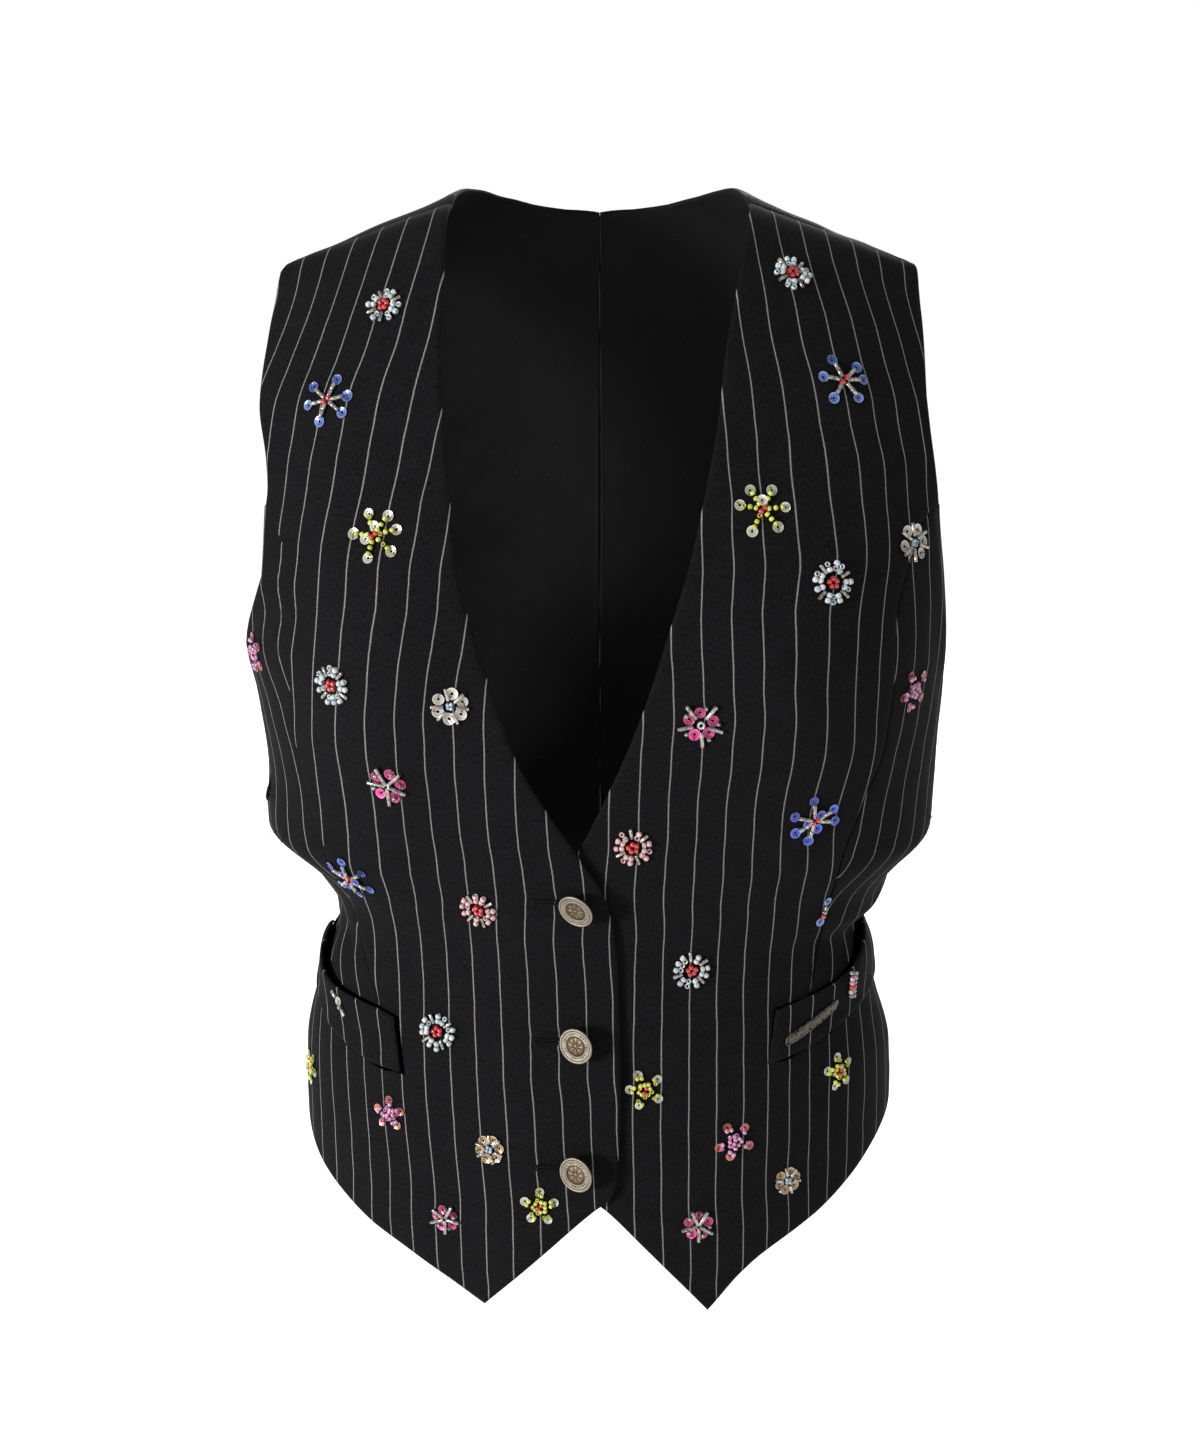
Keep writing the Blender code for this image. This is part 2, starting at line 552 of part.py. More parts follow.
def make_button(name, level, material, collection):
    """A turned shank button: round foot, neck, disc with a raised rim and a dished face."""
    r, shank = BUTTON_RADIUS, SHANK_RADIUS
    foot = [(shank * math.sin(a), -shank * math.cos(a)) for a in SHANK_FOOT_ANGLES]
    back = SHANK_REACH - shank
    rim, dish = back + BUTTON_THICK, back + BUTTON_THICK - BUTTON_DISH
    profile = foot + [(shank, back - 0.4), (shank + 0.8, back),              # neck
                      (r - 1.0, back + 0.25), (r - 0.2, back + 0.6),         # rounded back
                      (r, back + 1.1), (r - 0.25, rim),                      # edge
                      (r - BUTTON_RIM + 0.2, rim), (r - BUTTON_RIM - 0.3, dish),
                      (r * 0.45, dish), (r * 0.38, dish + BUTTON_BOSS), (0.0, dish + BUTTON_BOSS)]
    bm = bmesh.new()
    ring_of = []
    for radius, height in profile:
        if radius == 0:
            ring_of.append([bm.verts.new((0, 0, height * MM))])
            continue
        angles = [2 * math.pi * k / BUTTON_STEPS for k in range(BUTTON_STEPS)]
        ring_of.append([bm.verts.new((radius * MM * math.cos(a), radius * MM * math.sin(a), height * MM))
                        for a in angles])
    for low, high in zip(ring_of, ring_of[1:]):
        for k in range(BUTTON_STEPS):
            after = (k + 1) % BUTTON_STEPS
            corners = [low[k % len(low)], low[after % len(low)], high[after % len(high)], high[k % len(high)]]
            bm.faces.new(list(dict.fromkeys(corners)))
    mesh = bpy.data.meshes.new(name)
    bm.to_mesh(mesh)
    bm.free()
    mesh.materials.append(material)
    mesh.shade_smooth()
    mesh.set_sharp_from_angle(angle=math.radians(35))
    button = bpy.data.objects.new(name, mesh)
    collection.objects.link(button)
    turn = turn_at(FRONT, RIGHT, BUTTON_LINE_X, level)
    seat = front_point(RIGHT, turn, level, lift=SHANK_RADIUS + SEAT_GAP)
    normal = form_normal(FRONT, RIGHT, turn, level)
    face = normal.to_track_quat("Z", "Y").to_matrix().to_4x4()
    lean = Matrix.Rotation(math.radians(-BUTTON_TURN), 4, "Z") @ Matrix.Rotation(math.radians(BUTTON_NOD), 4, "X")
    button.matrix_world = Matrix.Translation(seat * MM) @ lean @ face
    return button


def make_material(name, color, roughness, metallic):
    material = bpy.data.materials.new(name)
    material.use_nodes = True
    shader = material.node_tree.nodes["Principled BSDF"]
    shader.inputs["Base Color"].default_value = (*color, 1.0)
    shader.inputs["Roughness"].default_value = roughness
    shader.inputs["Metallic"].default_value = metallic
    return material


def main():
    for obj in list(bpy.data.objects):
        bpy.data.objects.remove(obj, do_unlink=True)
    waistcoat = bpy.data.collections.new("waistcoat")
    bpy.context.scene.collection.children.link(waistcoat)
    sides = ((RIGHT, "right"), (LEFT, "left"))
    for side, word in sides:
        suiting = make_material(f"pinstripe_suiting_{word}", (0.013, 0.012, 0.013), 0.85, 0.0)
        plain = make_material(f"plain_black_cloth_{word}", (0.010, 0.010, 0.011), 0.7, 0.0)
        welt_cloth = make_material(f"welt_suiting_{word}", (0.012, 0.011, 0.012), 0.85, 0.0)
        sew_front(side, f"front_{word}", suiting, waistcoat)
        sew_back(side, f"back_{word}", plain, waistcoat)
        sew_welt(side, f"welt_{word}", welt_cloth, waistcoat)
    make_plate("label_plate", make_material("pewter", (0.30, 0.29, 0.27), 0.38, 1.0), waistcoat)
    for number, level in enumerate(BUTTON_LEVELS, start=1):
        metal = make_material(f"button_metal_{number}", (0.55, 0.48, 0.40), 0.35, 1.0)
        make_button(f"button_{number}", level, metal, waistcoat)


main()
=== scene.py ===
"""Dresses the frame of a woman's fitted waistcoat: pinstripe fronts with beaded flowers, slanted
pocket welts, metal shank buttons, a bare metal bar and a plain two-piece back.

Sizes are in millimetres until a mesh is made. A place on the cloth is (turn, level): turn is how
far round the body from the centre line, zero at the centre and a right angle at the side seam,
and level is the height.
"""

from __future__ import annotations

import logging
import math
import random
import sys
from dataclasses import dataclass, field
from enum import Enum
from functools import cached_property
from typing import Any, Callable, Sequence

import bmesh
import bpy
import numpy as np
from bpy.types import Material, Node, NodeSocket, Object
from mathutils import Matrix, Vector
from mathutils.bvhtree import BVHTree


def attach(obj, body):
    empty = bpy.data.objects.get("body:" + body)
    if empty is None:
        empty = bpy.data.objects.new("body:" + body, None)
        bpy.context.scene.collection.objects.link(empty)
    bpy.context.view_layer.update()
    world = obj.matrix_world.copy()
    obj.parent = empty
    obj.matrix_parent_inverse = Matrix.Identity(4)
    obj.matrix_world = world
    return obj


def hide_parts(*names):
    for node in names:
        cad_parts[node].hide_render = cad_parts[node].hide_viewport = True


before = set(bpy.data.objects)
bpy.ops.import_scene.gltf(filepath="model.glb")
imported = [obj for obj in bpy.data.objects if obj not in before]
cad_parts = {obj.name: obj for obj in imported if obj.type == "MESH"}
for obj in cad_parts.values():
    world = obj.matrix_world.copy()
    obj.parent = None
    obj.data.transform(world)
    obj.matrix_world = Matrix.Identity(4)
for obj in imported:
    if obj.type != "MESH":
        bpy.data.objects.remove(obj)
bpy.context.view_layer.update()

LOG = logging.getLogger("waistcoat")
MM = 0.001
BODY = "root"
RIGHT_ANGLE = math.pi / 2
MM_A_DEGREE = 1.9

Array = np.ndarray
Place = tuple[Array, Array]
Edge = Callable[[Array], Place]
Colour = tuple[float, float, float]
Knots = tuple[tuple[float, float], ...]
Part = tuple[Array, Array, Array]


class Side(Enum):
    """Which half of the body; the value is the sign of its x."""

    RIGHT = -1
    LEFT = 1

    @property
    def word(self) -> str:
        """Name used in the frame's node names."""
        return self.name.lower()


class Motif(Enum):
    """Ways the flowers are sewn; the value is the method that sews them."""

    RING = "ring"
    STAR = "star"
    ROSETTE = "rosette"
    BURST = "burst"
    LINE = "line"


# ---- small maths
def lerp(a: Any, b: Any, t: Any) -> Any:
    """Value at t between a and b."""
    return a + (b - a) * t


def ease(value: Any) -> Any:
    """Smooth 0 to 1 step, held outside that range."""
    value = np.clip(value, 0.0, 1.0)
    return value * value * (3 - 2 * value)


def circle(count: int) -> Array:
    """Angles that share out a full turn."""
    return np.arange(count) * 2 * math.pi / count


def unit(vectors: Array) -> Array:
    """Vectors brought to length one."""
    return vectors / np.linalg.norm(vectors, axis=-1, keepdims=True)


def table(*columns: Array) -> Array:
    """Rows of numbers from grids that each hold one column."""
    return np.stack(columns, -1).reshape(-1, len(columns))


def lengths(points: Array, axis: int) -> Array:
    """Running length up the columns of a grid of points, or along its rows where axis is 1."""
    step = np.linalg.norm(np.diff(points, axis=axis), axis=-1)
    return np.insert(np.cumsum(step, axis=axis), 0, 0.0, axis=axis)


def margins(points: Array) -> tuple[Array, Array, Array, Array]:
    """Distances in from a grid's first and last column, then from its first and last row."""
    return (lengths(points, 1), lengths(points[:, ::-1], 1)[:, ::-1],
            lengths(points, 0), lengths(points[::-1], 0)[::-1])


@dataclass(frozen=True)
class Curve:
    """A smooth curve through (position, value) knots that never overshoots them."""

    knots: Knots

    @cached_property
    def _parts(self) -> tuple[Array, Array, Array]:
        """Works out the slopes.

        Returns:
            Positions, values and slopes at the knots.
        """
        xs, ys = np.array(self.knots, float).T
        rises = np.diff(ys) / np.diff(xs)
        before, after = rises[:-1], rises[1:]
        same = before * after > 0
        mean = 2 * before * after / np.where(same, before + after, 1.0)
        return xs, ys, np.concatenate([rises[:1], np.where(same, mean, 0.0), rises[-1:]])

    def __call__(self, x: Any) -> Array:
        """Reads the curve, which is held at its end knots outside them.

        Args:
            x: Positions.

        Returns:
            Values there.
        """
        xs, ys, slopes = self._parts
        x = np.clip(np.asarray(x, float), xs[0], xs[-1])
        i = np.clip(np.searchsorted(xs, x, side="right") - 1, 0, len(xs) - 2)
        gap = xs[i + 1] - xs[i]
        t = (x - xs[i]) / gap
        start = (1 + 2 * t) * (1 - t) ** 2 * ys[i] + t * (1 - t) ** 2 * gap * slopes[i]
        return start + t * t * (3 - 2 * t) * ys[i + 1] + t * t * (t - 1) * gap * slopes[i + 1]


# ---- worn form
@dataclass(frozen=True)
class WornForm:
    """Front or back of the body shape that the cloth follows."""

    rows: tuple[tuple[float, ...], ...]
    outward: int
    cup_x: float = 90.0
    cup_width: float = 40.0
    shoulder_mid: float = 111.0
    neck_reach: float = 40.0

    STEPS = 41
    COLUMNS = ("level", "height", "slope", "right", "left", "depth", "side", "square", "cup")

    @cached_property
    def curves(self) -> dict[str, Curve]:
        """One curve over level for each named column."""
        return {name: Curve(tuple((row[0], row[k]) for row in self.rows))
                for k, name in enumerate(self.COLUMNS) if k}

    def half_width(self, x_sign: Any, level: Any) -> Array:
        """Half width on the side that x_sign names."""
        right, left = (self.curves[name](level) for name in ("right", "left"))
        return np.where(np.asarray(x_sign) < 0, right, left)

    def point(self, side: Side, turn: Any, level: Any) -> Array:
        """Bare points of the form.

        Args:
            side: Half of the body that turn counts towards.
            turn: Angles from the centre line.
            level: Heights, in mm.

        Returns:
            Points in mm, with x, y and z on the last axis.
        """
        turn, level = np.broadcast_arrays(np.asarray(turn, float), np.asarray(level, float))
        read = {name: curve(level) for name, curve in self.curves.items()}
        power = 2.0 / read["square"]
        across = np.sign(turn) * np.abs(np.sin(turn)) ** power
        forward = np.maximum(np.cos(turn), 0.0) ** power
        x_sign = np.where(across >= 0, side.value, -side.value)
        x = x_sign * np.abs(across) * np.where(x_sign < 0, read["right"], read["left"])
        cup = read["cup"] * np.exp(-(((np.abs(x) - self.cup_x) / self.cup_width) ** 2))
        y = read["side"] + (read["depth"] - read["side"]) * forward - cup
        z = read["height"] - read["slope"] * (np.hypot(x, self.neck_reach) - self.shoulder_mid)
        return np.stack([x, y, z], axis=-1)

    def normal(self, side: Side, turn: Any, level: Any) -> Array:
        """Outward unit normals of the form.

        Args:
            side: Half of the body that turn counts towards.
            turn: Angles from the centre line.
            level: Heights, in mm.

        Returns:
            Normals, on the last axis.
        """
        step_turn, step_level = 0.004, 0.4
        turn = np.minimum(turn, RIGHT_ANGLE - step_turn)
        along = (self.point(side, turn + step_turn, level)
                 - self.point(side, turn - step_turn, level))
        up = self.point(side, turn, level + step_level) - self.point(side, turn, level - step_level)
        return unit(np.cross(along, up)) * side.value * self.outward

    def turn_at(self, side: Side, x: Any, level: Any) -> Array:
        """Turn at which the form reaches x.

        Args:
            side: Half of the body that turn counts towards.
            x: Places from side to side, in mm.
            level: Heights, in mm.

        Returns:
            Turns, negative past the centre line.
        """
        x = np.asarray(x, float)
        x_sign = np.where(x < 0, -1, 1)
        reach = np.minimum(np.abs(x) / self.half_width(x_sign, level), 1.0)
        turn = np.arcsin(reach ** (self.curves["square"](level) / 2.0))
        return np.where(x_sign == side.value, turn, -turn)

    def arc(self, side: Side, start: Any, end: Any, level: Any) -> Array:
        """Length along the form's section between two turns.

        Args:
            side: Half of the body.
            start: Turns to measure from.
            end: Turns to measure to.
            level: Level of each section.

        Returns:
            Lengths in mm, negative where end comes before start.
        """
        given = (np.asarray(value, float) for value in (start, end, level))
        start, end, level = np.broadcast_arrays(*given)
        turns = start[..., None] + (end - start)[..., None] * np.linspace(0.0, 1.0, self.STEPS)
        path = self.point(side, turns, level[..., None])
        return np.linalg.norm(np.diff(path, axis=-2), axis=-1).sum(-1) * np.sign(end - start)


FRONT_FORM = WornForm(outward=1, rows=(
    (-490, -490, 0, 149, 147, -100, 0, 2.1, 0),
    (-450, -450, 0, 149, 147, -99, 0, 2.1, 0),
    (-415, -415, 0, 148.5, 147, -96, 0, 2.15, 0),
    (-385, -385, 0, 147.5, 145.5, -92, 0, 2.2, 0),
    (-350, -350, 0, 139, 135.5, -87, 0, 2.35, 0),
    (-335, -335, 0, 136, 133.5, -85.3, 0, 2.42, 0),
    (-318, -318, 0, 128.5, 127.8, -84, 0, 2.5, 0),
    (-308, -308, 0, 130, 137.8, -85.3, 0, 2.47, 0),
    (-295, -295, 0, 138.5, 143, -88, 0, 2.4, 0),
    (-270, -270, 0, 161, 161, -94, 0, 2.35, 1),
    (-240, -240, 0, 159, 161, -99, 0, 2.4, 4),
    (-205, -205, 0, 162, 162, -105, 0, 2.45, 7),
    (-180, -180, 0, 167, 164, -107, 0, 2.5, 8),
    (-150, -150, 0, 169, 165, -104, 0, 2.45, 6),
    (-115, -115, 0, 171, 166, -96, 0, 2.4, 2),
    (-80, -80, 0.07, 172, 165, -85, -1, 2.4, 0),
    (-50, -49.5, 0.22, 166, 160, -72, -2, 2.4, 0),
    (-28, -27, 0.32, 157, 153, -56, -3, 2.4, 0),
    (-12, -10.5, 0.37, 150, 149, -36, -4, 2.4, 0),
    (-3, -1, 0.38, 149, 148, -19, -5, 2.4, 0),
    (0, 2, 0.38, 149, 148, -5, -5, 2.4, 0)))
BACK_FORM = WornForm(outward=-1, rows=(
    (-425, -425, 0, 148.5, 147, 99, 0, 2.2, 0),
    (-385, -385, 0, 147.5, 145.5, 90, 0, 2.2, 0),
    (-350, -350, 0, 139, 135.5, 80, 0, 2.3, 0),
    (-335, -335, 0, 136, 133.5, 76.3, 0, 2.35, 0),
    (-318, -318, 0, 128.5, 127.8, 74, 0, 2.4, 0),
    (-308, -308, 0, 130, 137.8, 74.6, 0, 2.4, 0),
    (-295, -295, 0, 138.5, 143, 77, 0, 2.4, 0),
    (-270, -270, 0, 161, 161, 82, 0, 2.4, 0),
    (-240, -240, 0, 160, 161, 88, 0, 2.4, 0),
    (-200, -200, 0, 158, 158, 94, 0, 2.4, 0),
    (-160, -160, 0, 156, 156, 97, 0, 2.4, 0),
    (-110, -110, 0.05, 157, 157, 95, 1, 2.4, 0),
    (-60, -61, 0.22, 155, 155, 87, 4, 2.4, 0),
    (-30, -33, 0.36, 153, 153, 77, 9, 2.4, 0),
    (-12, -17, 0.46, 152, 152, 68, 13, 2.4, 0),
    (4, -6, 0.52, 151, 151, 54, 15, 2.4, 0),
    (23, 1, 0.54, 150, 150, 37, 14, 2.4, 0),
    (42, 4, 0.5, 150, 150, 19, 8, 2.4, 0),
    (57, 4, 0.43, 149, 149, 4, 0, 2.4, 0),
    (66, 2, 0.38, 149, 148, -5, -5, 2.4, 0)))

CLOTH_WALL = 1.8
SEAM_LAP = 0.06
SHOULDER_LAP = 0.05
SEAT_GAP = 0.55


@dataclass(frozen=True)
class Crease:
    """A trough pressed into worn cloth, with the soft ridge that it throws up on one side."""

    turn_a: float
    level_a: float
    turn_b: float
    level_b: float
    half_width: float
    depth: float
    ridge: float = 0.35

    def height(self, turn: Array, level: Array) -> Array:
        """How far the crease lifts the cloth, its ends fading and its trough a little bowed.

        Args:
            turn: Angles round the body.
            level: Heights, in mm.

        Returns:
            Heights over the smooth form, in mm.
        """
        a = np.array([self.turn_a * MM_A_DEGREE, self.level_a])
        b = np.array([self.turn_b * MM_A_DEGREE, self.level_b])
        run = b - a
        offset = np.stack([np.degrees(turn) * MM_A_DEGREE, level], -1) - a
        t = (offset @ run) / (run @ run)
        side = (offset[..., 0] * run[1] - offset[..., 1] * run[0]) / np.linalg.norm(run)
        taper = np.sin(np.pi * np.clip(t, 0.0, 1.0)) ** 0.8
        side = side + 0.22 * self.half_width * np.sin(2 * np.pi * np.clip(t, 0, 1) + self.level_a)
        trough = np.exp(-((side / self.half_width) ** 2))
        crest = np.exp(-(((side - 1.7 * self.half_width) / (0.8 * self.half_width)) ** 2))
        return self.depth * taper * (self.ridge * crest - trough)


def crease_height(creases: Sequence[Crease], turn: Array, level: Array) -> Array:
    """Sum of several creases at each place."""
    return sum((crease.height(turn, level) for crease in creases), np.zeros(np.shape(turn)))


# ---- meshes
@dataclass
class Shape:
    """Points, faces, a two-number lay for each corner and a finish number for each face."""

    points: list[Array] = field(default_factory=list)
    faces: list[Array] = field(default_factory=list)
    lay: list[Array] = field(default_factory=list)
    finish: list[Array] = field(default_factory=list)
    count: int = 0

    def add(self, points: Array, faces: Array, lay: Array, finish: int | Array = 0) -> None:
        """Adds one lot of faces that all have the same number of corners.

        Args:
            points: Points in mm, one row each.
            faces: Point numbers, one row for each face.
            lay: Two numbers for each corner of each face, or for each point.
            finish: Finish number of the faces.
        """
        lay = np.asarray(lay, float)
        self.points.append(np.asarray(points, float))
        self.faces.append(np.asarray(faces) + self.count)
        self.lay.append(lay if lay.ndim == 3 else lay[np.asarray(faces)])
        self.finish.append(np.broadcast_to(finish, len(faces)))
        self.count += len(points)

    def make(self, name: str, finishes: Sequence[Material], sharp: float = 40.0,
             weld: bool = False) -> Object:
        """Makes the object and lets it ride on the waistcoat.

        Args:
            name: Name of the new piece.
            finishes: Materials in the order of the finish numbers.
            sharp: Angle in degrees above which an edge stays sharp.
            weld: True to join points that lie on each other.

        Returns:
            The new object, linked to the scene.
        """
        mesh = bpy.data.meshes.new(name)
        faces = [tuple(face) for lot in self.faces for face in lot.tolist()]
        mesh.from_pydata((np.concatenate(self.points) * MM).tolist(), [], faces)
        layer = mesh.uv_layers.new(name="lay")
        corners = np.concatenate([lot.reshape(-1, 2) for lot in self.lay])
        layer.data.foreach_set("uv", corners.ravel())
        mesh.polygons.foreach_set("material_index", np.concatenate(self.finish).astype(np.int32))
        for finish in finishes:
            mesh.materials.append(finish)
        if weld:
            work = bmesh.new()
            work.from_mesh(mesh)
            bmesh.ops.remove_doubles(work, verts=work.verts, dist=0.00001)
            work.to_mesh(mesh)
            work.free()
        mesh.shade_smooth()
        mesh.set_sharp_from_angle(angle=math.radians(sharp))
        piece = bpy.data.objects.new(name, mesh)
        bpy.context.scene.collection.objects.link(piece)
        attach(piece, BODY)
        return piece


def grid_faces(rows: int, columns: int, closed: bool = False) -> Array:
    """Four-sided faces over a table of points that is counted row by row.

    Args:
        rows: Number of rows of points.
        columns: Number of points in a row.
        closed: True if the last column meets the first.

    Returns:
        Point numbers of each face.
    """
    row, column = np.meshgrid(np.arange(rows - 1), np.arange(columns - (not closed)), indexing="ij")
    after = (column + 1) % columns
    corners = (row * columns + column, row * columns + after,
               (row + 1) * columns + after, (row + 1) * columns + column)
    return np.stack([corner.ravel() for corner in corners], axis=-1)


def thicken(piece: Object, wall: float, inner_finish: int = 0) -> None:
    """Gives a sheet its wall with a Solidify modifier that grows inwards.

    Args:
        piece: The sheet, its faces turned outwards.
        wall: Thickness in mm.
        inner_finish: How many finishes on from the outer one the inner face takes.
    """
    solid = piece.modifiers.new("wall", "SOLIDIFY")
    solid.thickness, solid.offset, solid.use_even_offset = wall * MM, -1.0, False
    solid.material_offset = inner_finish
    solid.use_quality_normals = True


def turned(points: Array, direction: Array, at: Array, spin: float = 0.0) -> Array:
    """Points of a small part stood on a surface.

    Args:
        points: The part's points with its own z standing off the surface.
        direction: Unit normal of the surface.
        at: Place of the part's origin.
        spin: Turn about the normal, in radians.

    Returns:
        The moved points.
    """
    normal = unit(direction)
    helper = np.array([0.0, 0.0, 1.0]) if abs(normal[2]) < 0.9 else np.array([0.0, 1.0, 0.0])
    right = unit(np.cross(helper, normal))
    up = np.cross(normal, right)
    c, s = math.cos(spin), math.sin(spin)
    frame = np.stack([c * right + s * up, -s * right + c * up, normal])
    return points @ frame + at


OFF_AXIS = np.array([0.31, 0.42, 0.85])


def tube(path: Array, radius: float | Array, sides: int = 5) -> Part:
    """A thin tube along a path, drawn to a point at both ends.

    Args:
        path: Points of the path in mm.
        radius: Radius in mm, one number or one for each point.
        sides: Corners of its section.

    Returns:
        Points, faces and lay of the tube.
    """
    path = np.asarray(path, float)
    run = unit(np.gradient(path, axis=0))
    right = unit(np.cross(run, OFF_AXIS))
    up = np.cross(run, right)
    angles = circle(sides)
    radius = np.broadcast_to(radius, len(path)).copy()
    radius[[0, -1]] *= 0.15
    ring = np.cos(angles)[:, None] * right[:, None] + np.sin(angles)[:, None] * up[:, None]
    points = path[:, None] + ring * radius[:, None, None]
    lay = np.stack(np.meshgrid(np.linspace(0, 1, len(path)), angles, indexing="ij"), axis=-1)
    return points.reshape(-1, 3), grid_faces(len(path), sides, closed=True), lay.reshape(-1, 2)


# ---- shader maths
@dataclass(frozen=True, eq=False)
class Wire:
    """An output socket that takes part in Python arithmetic."""

    graph: Graph
    socket: NodeSocket

    def __add__(self, other: Any) -> Wire:
        """Sum."""
        return self.graph.maths("ADD", self, other)

    def __sub__(self, other: Any) -> Wire:
        """Difference."""
        return self.graph.maths("SUBTRACT", self, other)

    def __rsub__(self, other: Any) -> Wire:
        """Difference from a number."""
        return self.graph.maths("SUBTRACT", other, self)

    def __mul__(self, other: Any) -> Wire:
        """Product."""
        return self.graph.maths("MULTIPLY", self, other)

    def __truediv__(self, other: Any) -> Wire:
        """Quotient."""
        return self.graph.maths("DIVIDE", self, other)

    __radd__ = __add__
    __rmul__ = __mul__

    def fract(self) -> Wire:
        """Part after the point."""
        return self.graph.maths("FRACT", self)

    def absolute(self) -> Wire:
        """Size without sign."""
        return self.graph.maths("ABSOLUTE", self)

    def wave(self) -> Wire:
        """Sine of an angle in radians, brought between 0 and 1."""
        return self.graph.maths("SINE", self) * 0.5 + 0.5

    def held(self) -> Wire:
        """Kept between 0 and 1."""
        return self.graph.maths("MINIMUM", self.graph.maths("MAXIMUM", self, 0.0), 1.0)

    def step(self, low: float, high: float) -> Wire:
        """Smooth rise from 0 at low to 1 at high, or a fall where low is the larger."""
        ends = {"From Min": min(low, high), "From Max": max(low, high),
                "To Min": float(low > high), "To Max": float(high > low)}
        return self.graph.wire("ShaderNodeMapRange", {"interpolation_type": "SMOOTHSTEP"},
                               {"Value": self, **ends})


class Graph:
    """The node tree of one new material, ending in one Principled shader."""

    def __init__(self, name: str) -> None:
        """Starts a material with an empty tree.

        Args:
            name: The material's name.
        """
        self.material = bpy.data.materials.new(name)
        self.material.use_nodes = True
        self.tree = self.material.node_tree
        self.tree.nodes.clear()

    def add(self, kind: str, settings: dict[str, Any] | None = None,
            sockets: dict[Any, Any] | None = None) -> Node:
        """Adds one node.

        Args:
            kind: Blender's type name.
            settings: Properties, set first; "stops" gives a ramp's (place, colour) pairs.
            sockets: Values or wires for its inputs, by name or number.

        Returns:
            The new node.
        """
        node = self.tree.nodes.new(kind)
        for key, value in (settings or {}).items():
            if key != "stops":
                setattr(node, key, value)
                continue
            while len(node.color_ramp.elements) < len(value):
                node.color_ramp.elements.new(0.5)
            for element, (place, colour) in zip(node.color_ramp.elements, value):
                element.position, element.color = place, (*colour, 1.0)
        for key, value in (sockets or {}).items():
            if isinstance(value, Wire):
                self.tree.links.new(value.socket, node.inputs[key])
            elif isinstance(value, tuple) and node.inputs[key].type == "RGBA":
                node.inputs[key].default_value = (*value, 1.0)
            else:
                node.inputs[key].default_value = value
        return node

    def wire(self, kind: str, settings: dict[str, Any] | None = None,
             sockets: dict[Any, Any] | None = None, output: int | str = 0) -> Wire:
        """One output of a new node; the rest is as for add."""
        return Wire(self, self.add(kind, settings, sockets).outputs[output])

    def maths(self, operation: str, *values: Any) -> Wire:
        """One Math node on values or wires."""
        return self.wire("ShaderNodeMath", {"operation": operation}, dict(enumerate(values)))

    def mix(self, factor: Any, a: Any, b: Any) -> Wire:
        """Colour between a and b."""
        return self.wire("ShaderNodeMix", {"data_type": "RGBA"}, {0: factor, 6: a, 7: b}, 2)

    def scaled(self, colour: Any, factor: Any) -> Wire:
        """Colour made lighter or darker by a factor."""
        return self.wire("ShaderNodeVectorMath", {"operation": "SCALE"},
                         {0: colour, "Scale": factor})

    def lay(self) -> tuple[Wire, Wire]:
        """Reads the piece's own lay.

        Returns:
            Its two numbers.
        """
        source = self.wire("ShaderNodeUVMap", {"uv_map": "lay"})
        split = self.add("ShaderNodeSeparateXYZ", None, {0: source})
        return Wire(self, split.outputs[0]), Wire(self, split.outputs[1])

    def place(self) -> Wire:
        """Place on the object, in metres."""
        return self.wire("ShaderNodeTexCoord", output="Object")

    def island(self) -> Wire:
        """A number of its own for each bead, thread or sequin of a piece."""
        return self.wire("ShaderNodeNewGeometry", output="Random Per Island")

    def noise(self, scale: float, detail: float = 2.0, at: tuple[Wire, Wire] | None = None) -> Wire:
        """Noise with this many cells a unit, read at a pair of wires or at the place."""
        where = self.wire("ShaderNodeCombineXYZ", None, dict(enumerate(at))) if at else self.place()
        return self.wire("ShaderNodeTexNoise", None,
                         {"Vector": where, "Scale": scale, "Detail": detail})

    def bump(self, height: Wire, reach: float, strength: float) -> Wire:
        """Normal from a height between 0 and 1 that is reach mm deep."""
        return self.wire("ShaderNodeBump", None,
                         {"Height": height, "Distance": reach * MM, "Strength": strength})

    def finish(self, **sockets: Any) -> Material:
        """Ends the tree in a Principled shader.

        Args:
            sockets: Values or wires of its inputs, with _ for a space in their names.

        Returns:
            The finished material.
        """
        shader = self.add("ShaderNodeBsdfPrincipled", None,
                          {key.replace("_", " "): value for key, value in sockets.items()})
        self.add("ShaderNodeOutputMaterial", None, {"Surface": Wire(self, shader.outputs[0])})
        return self.material


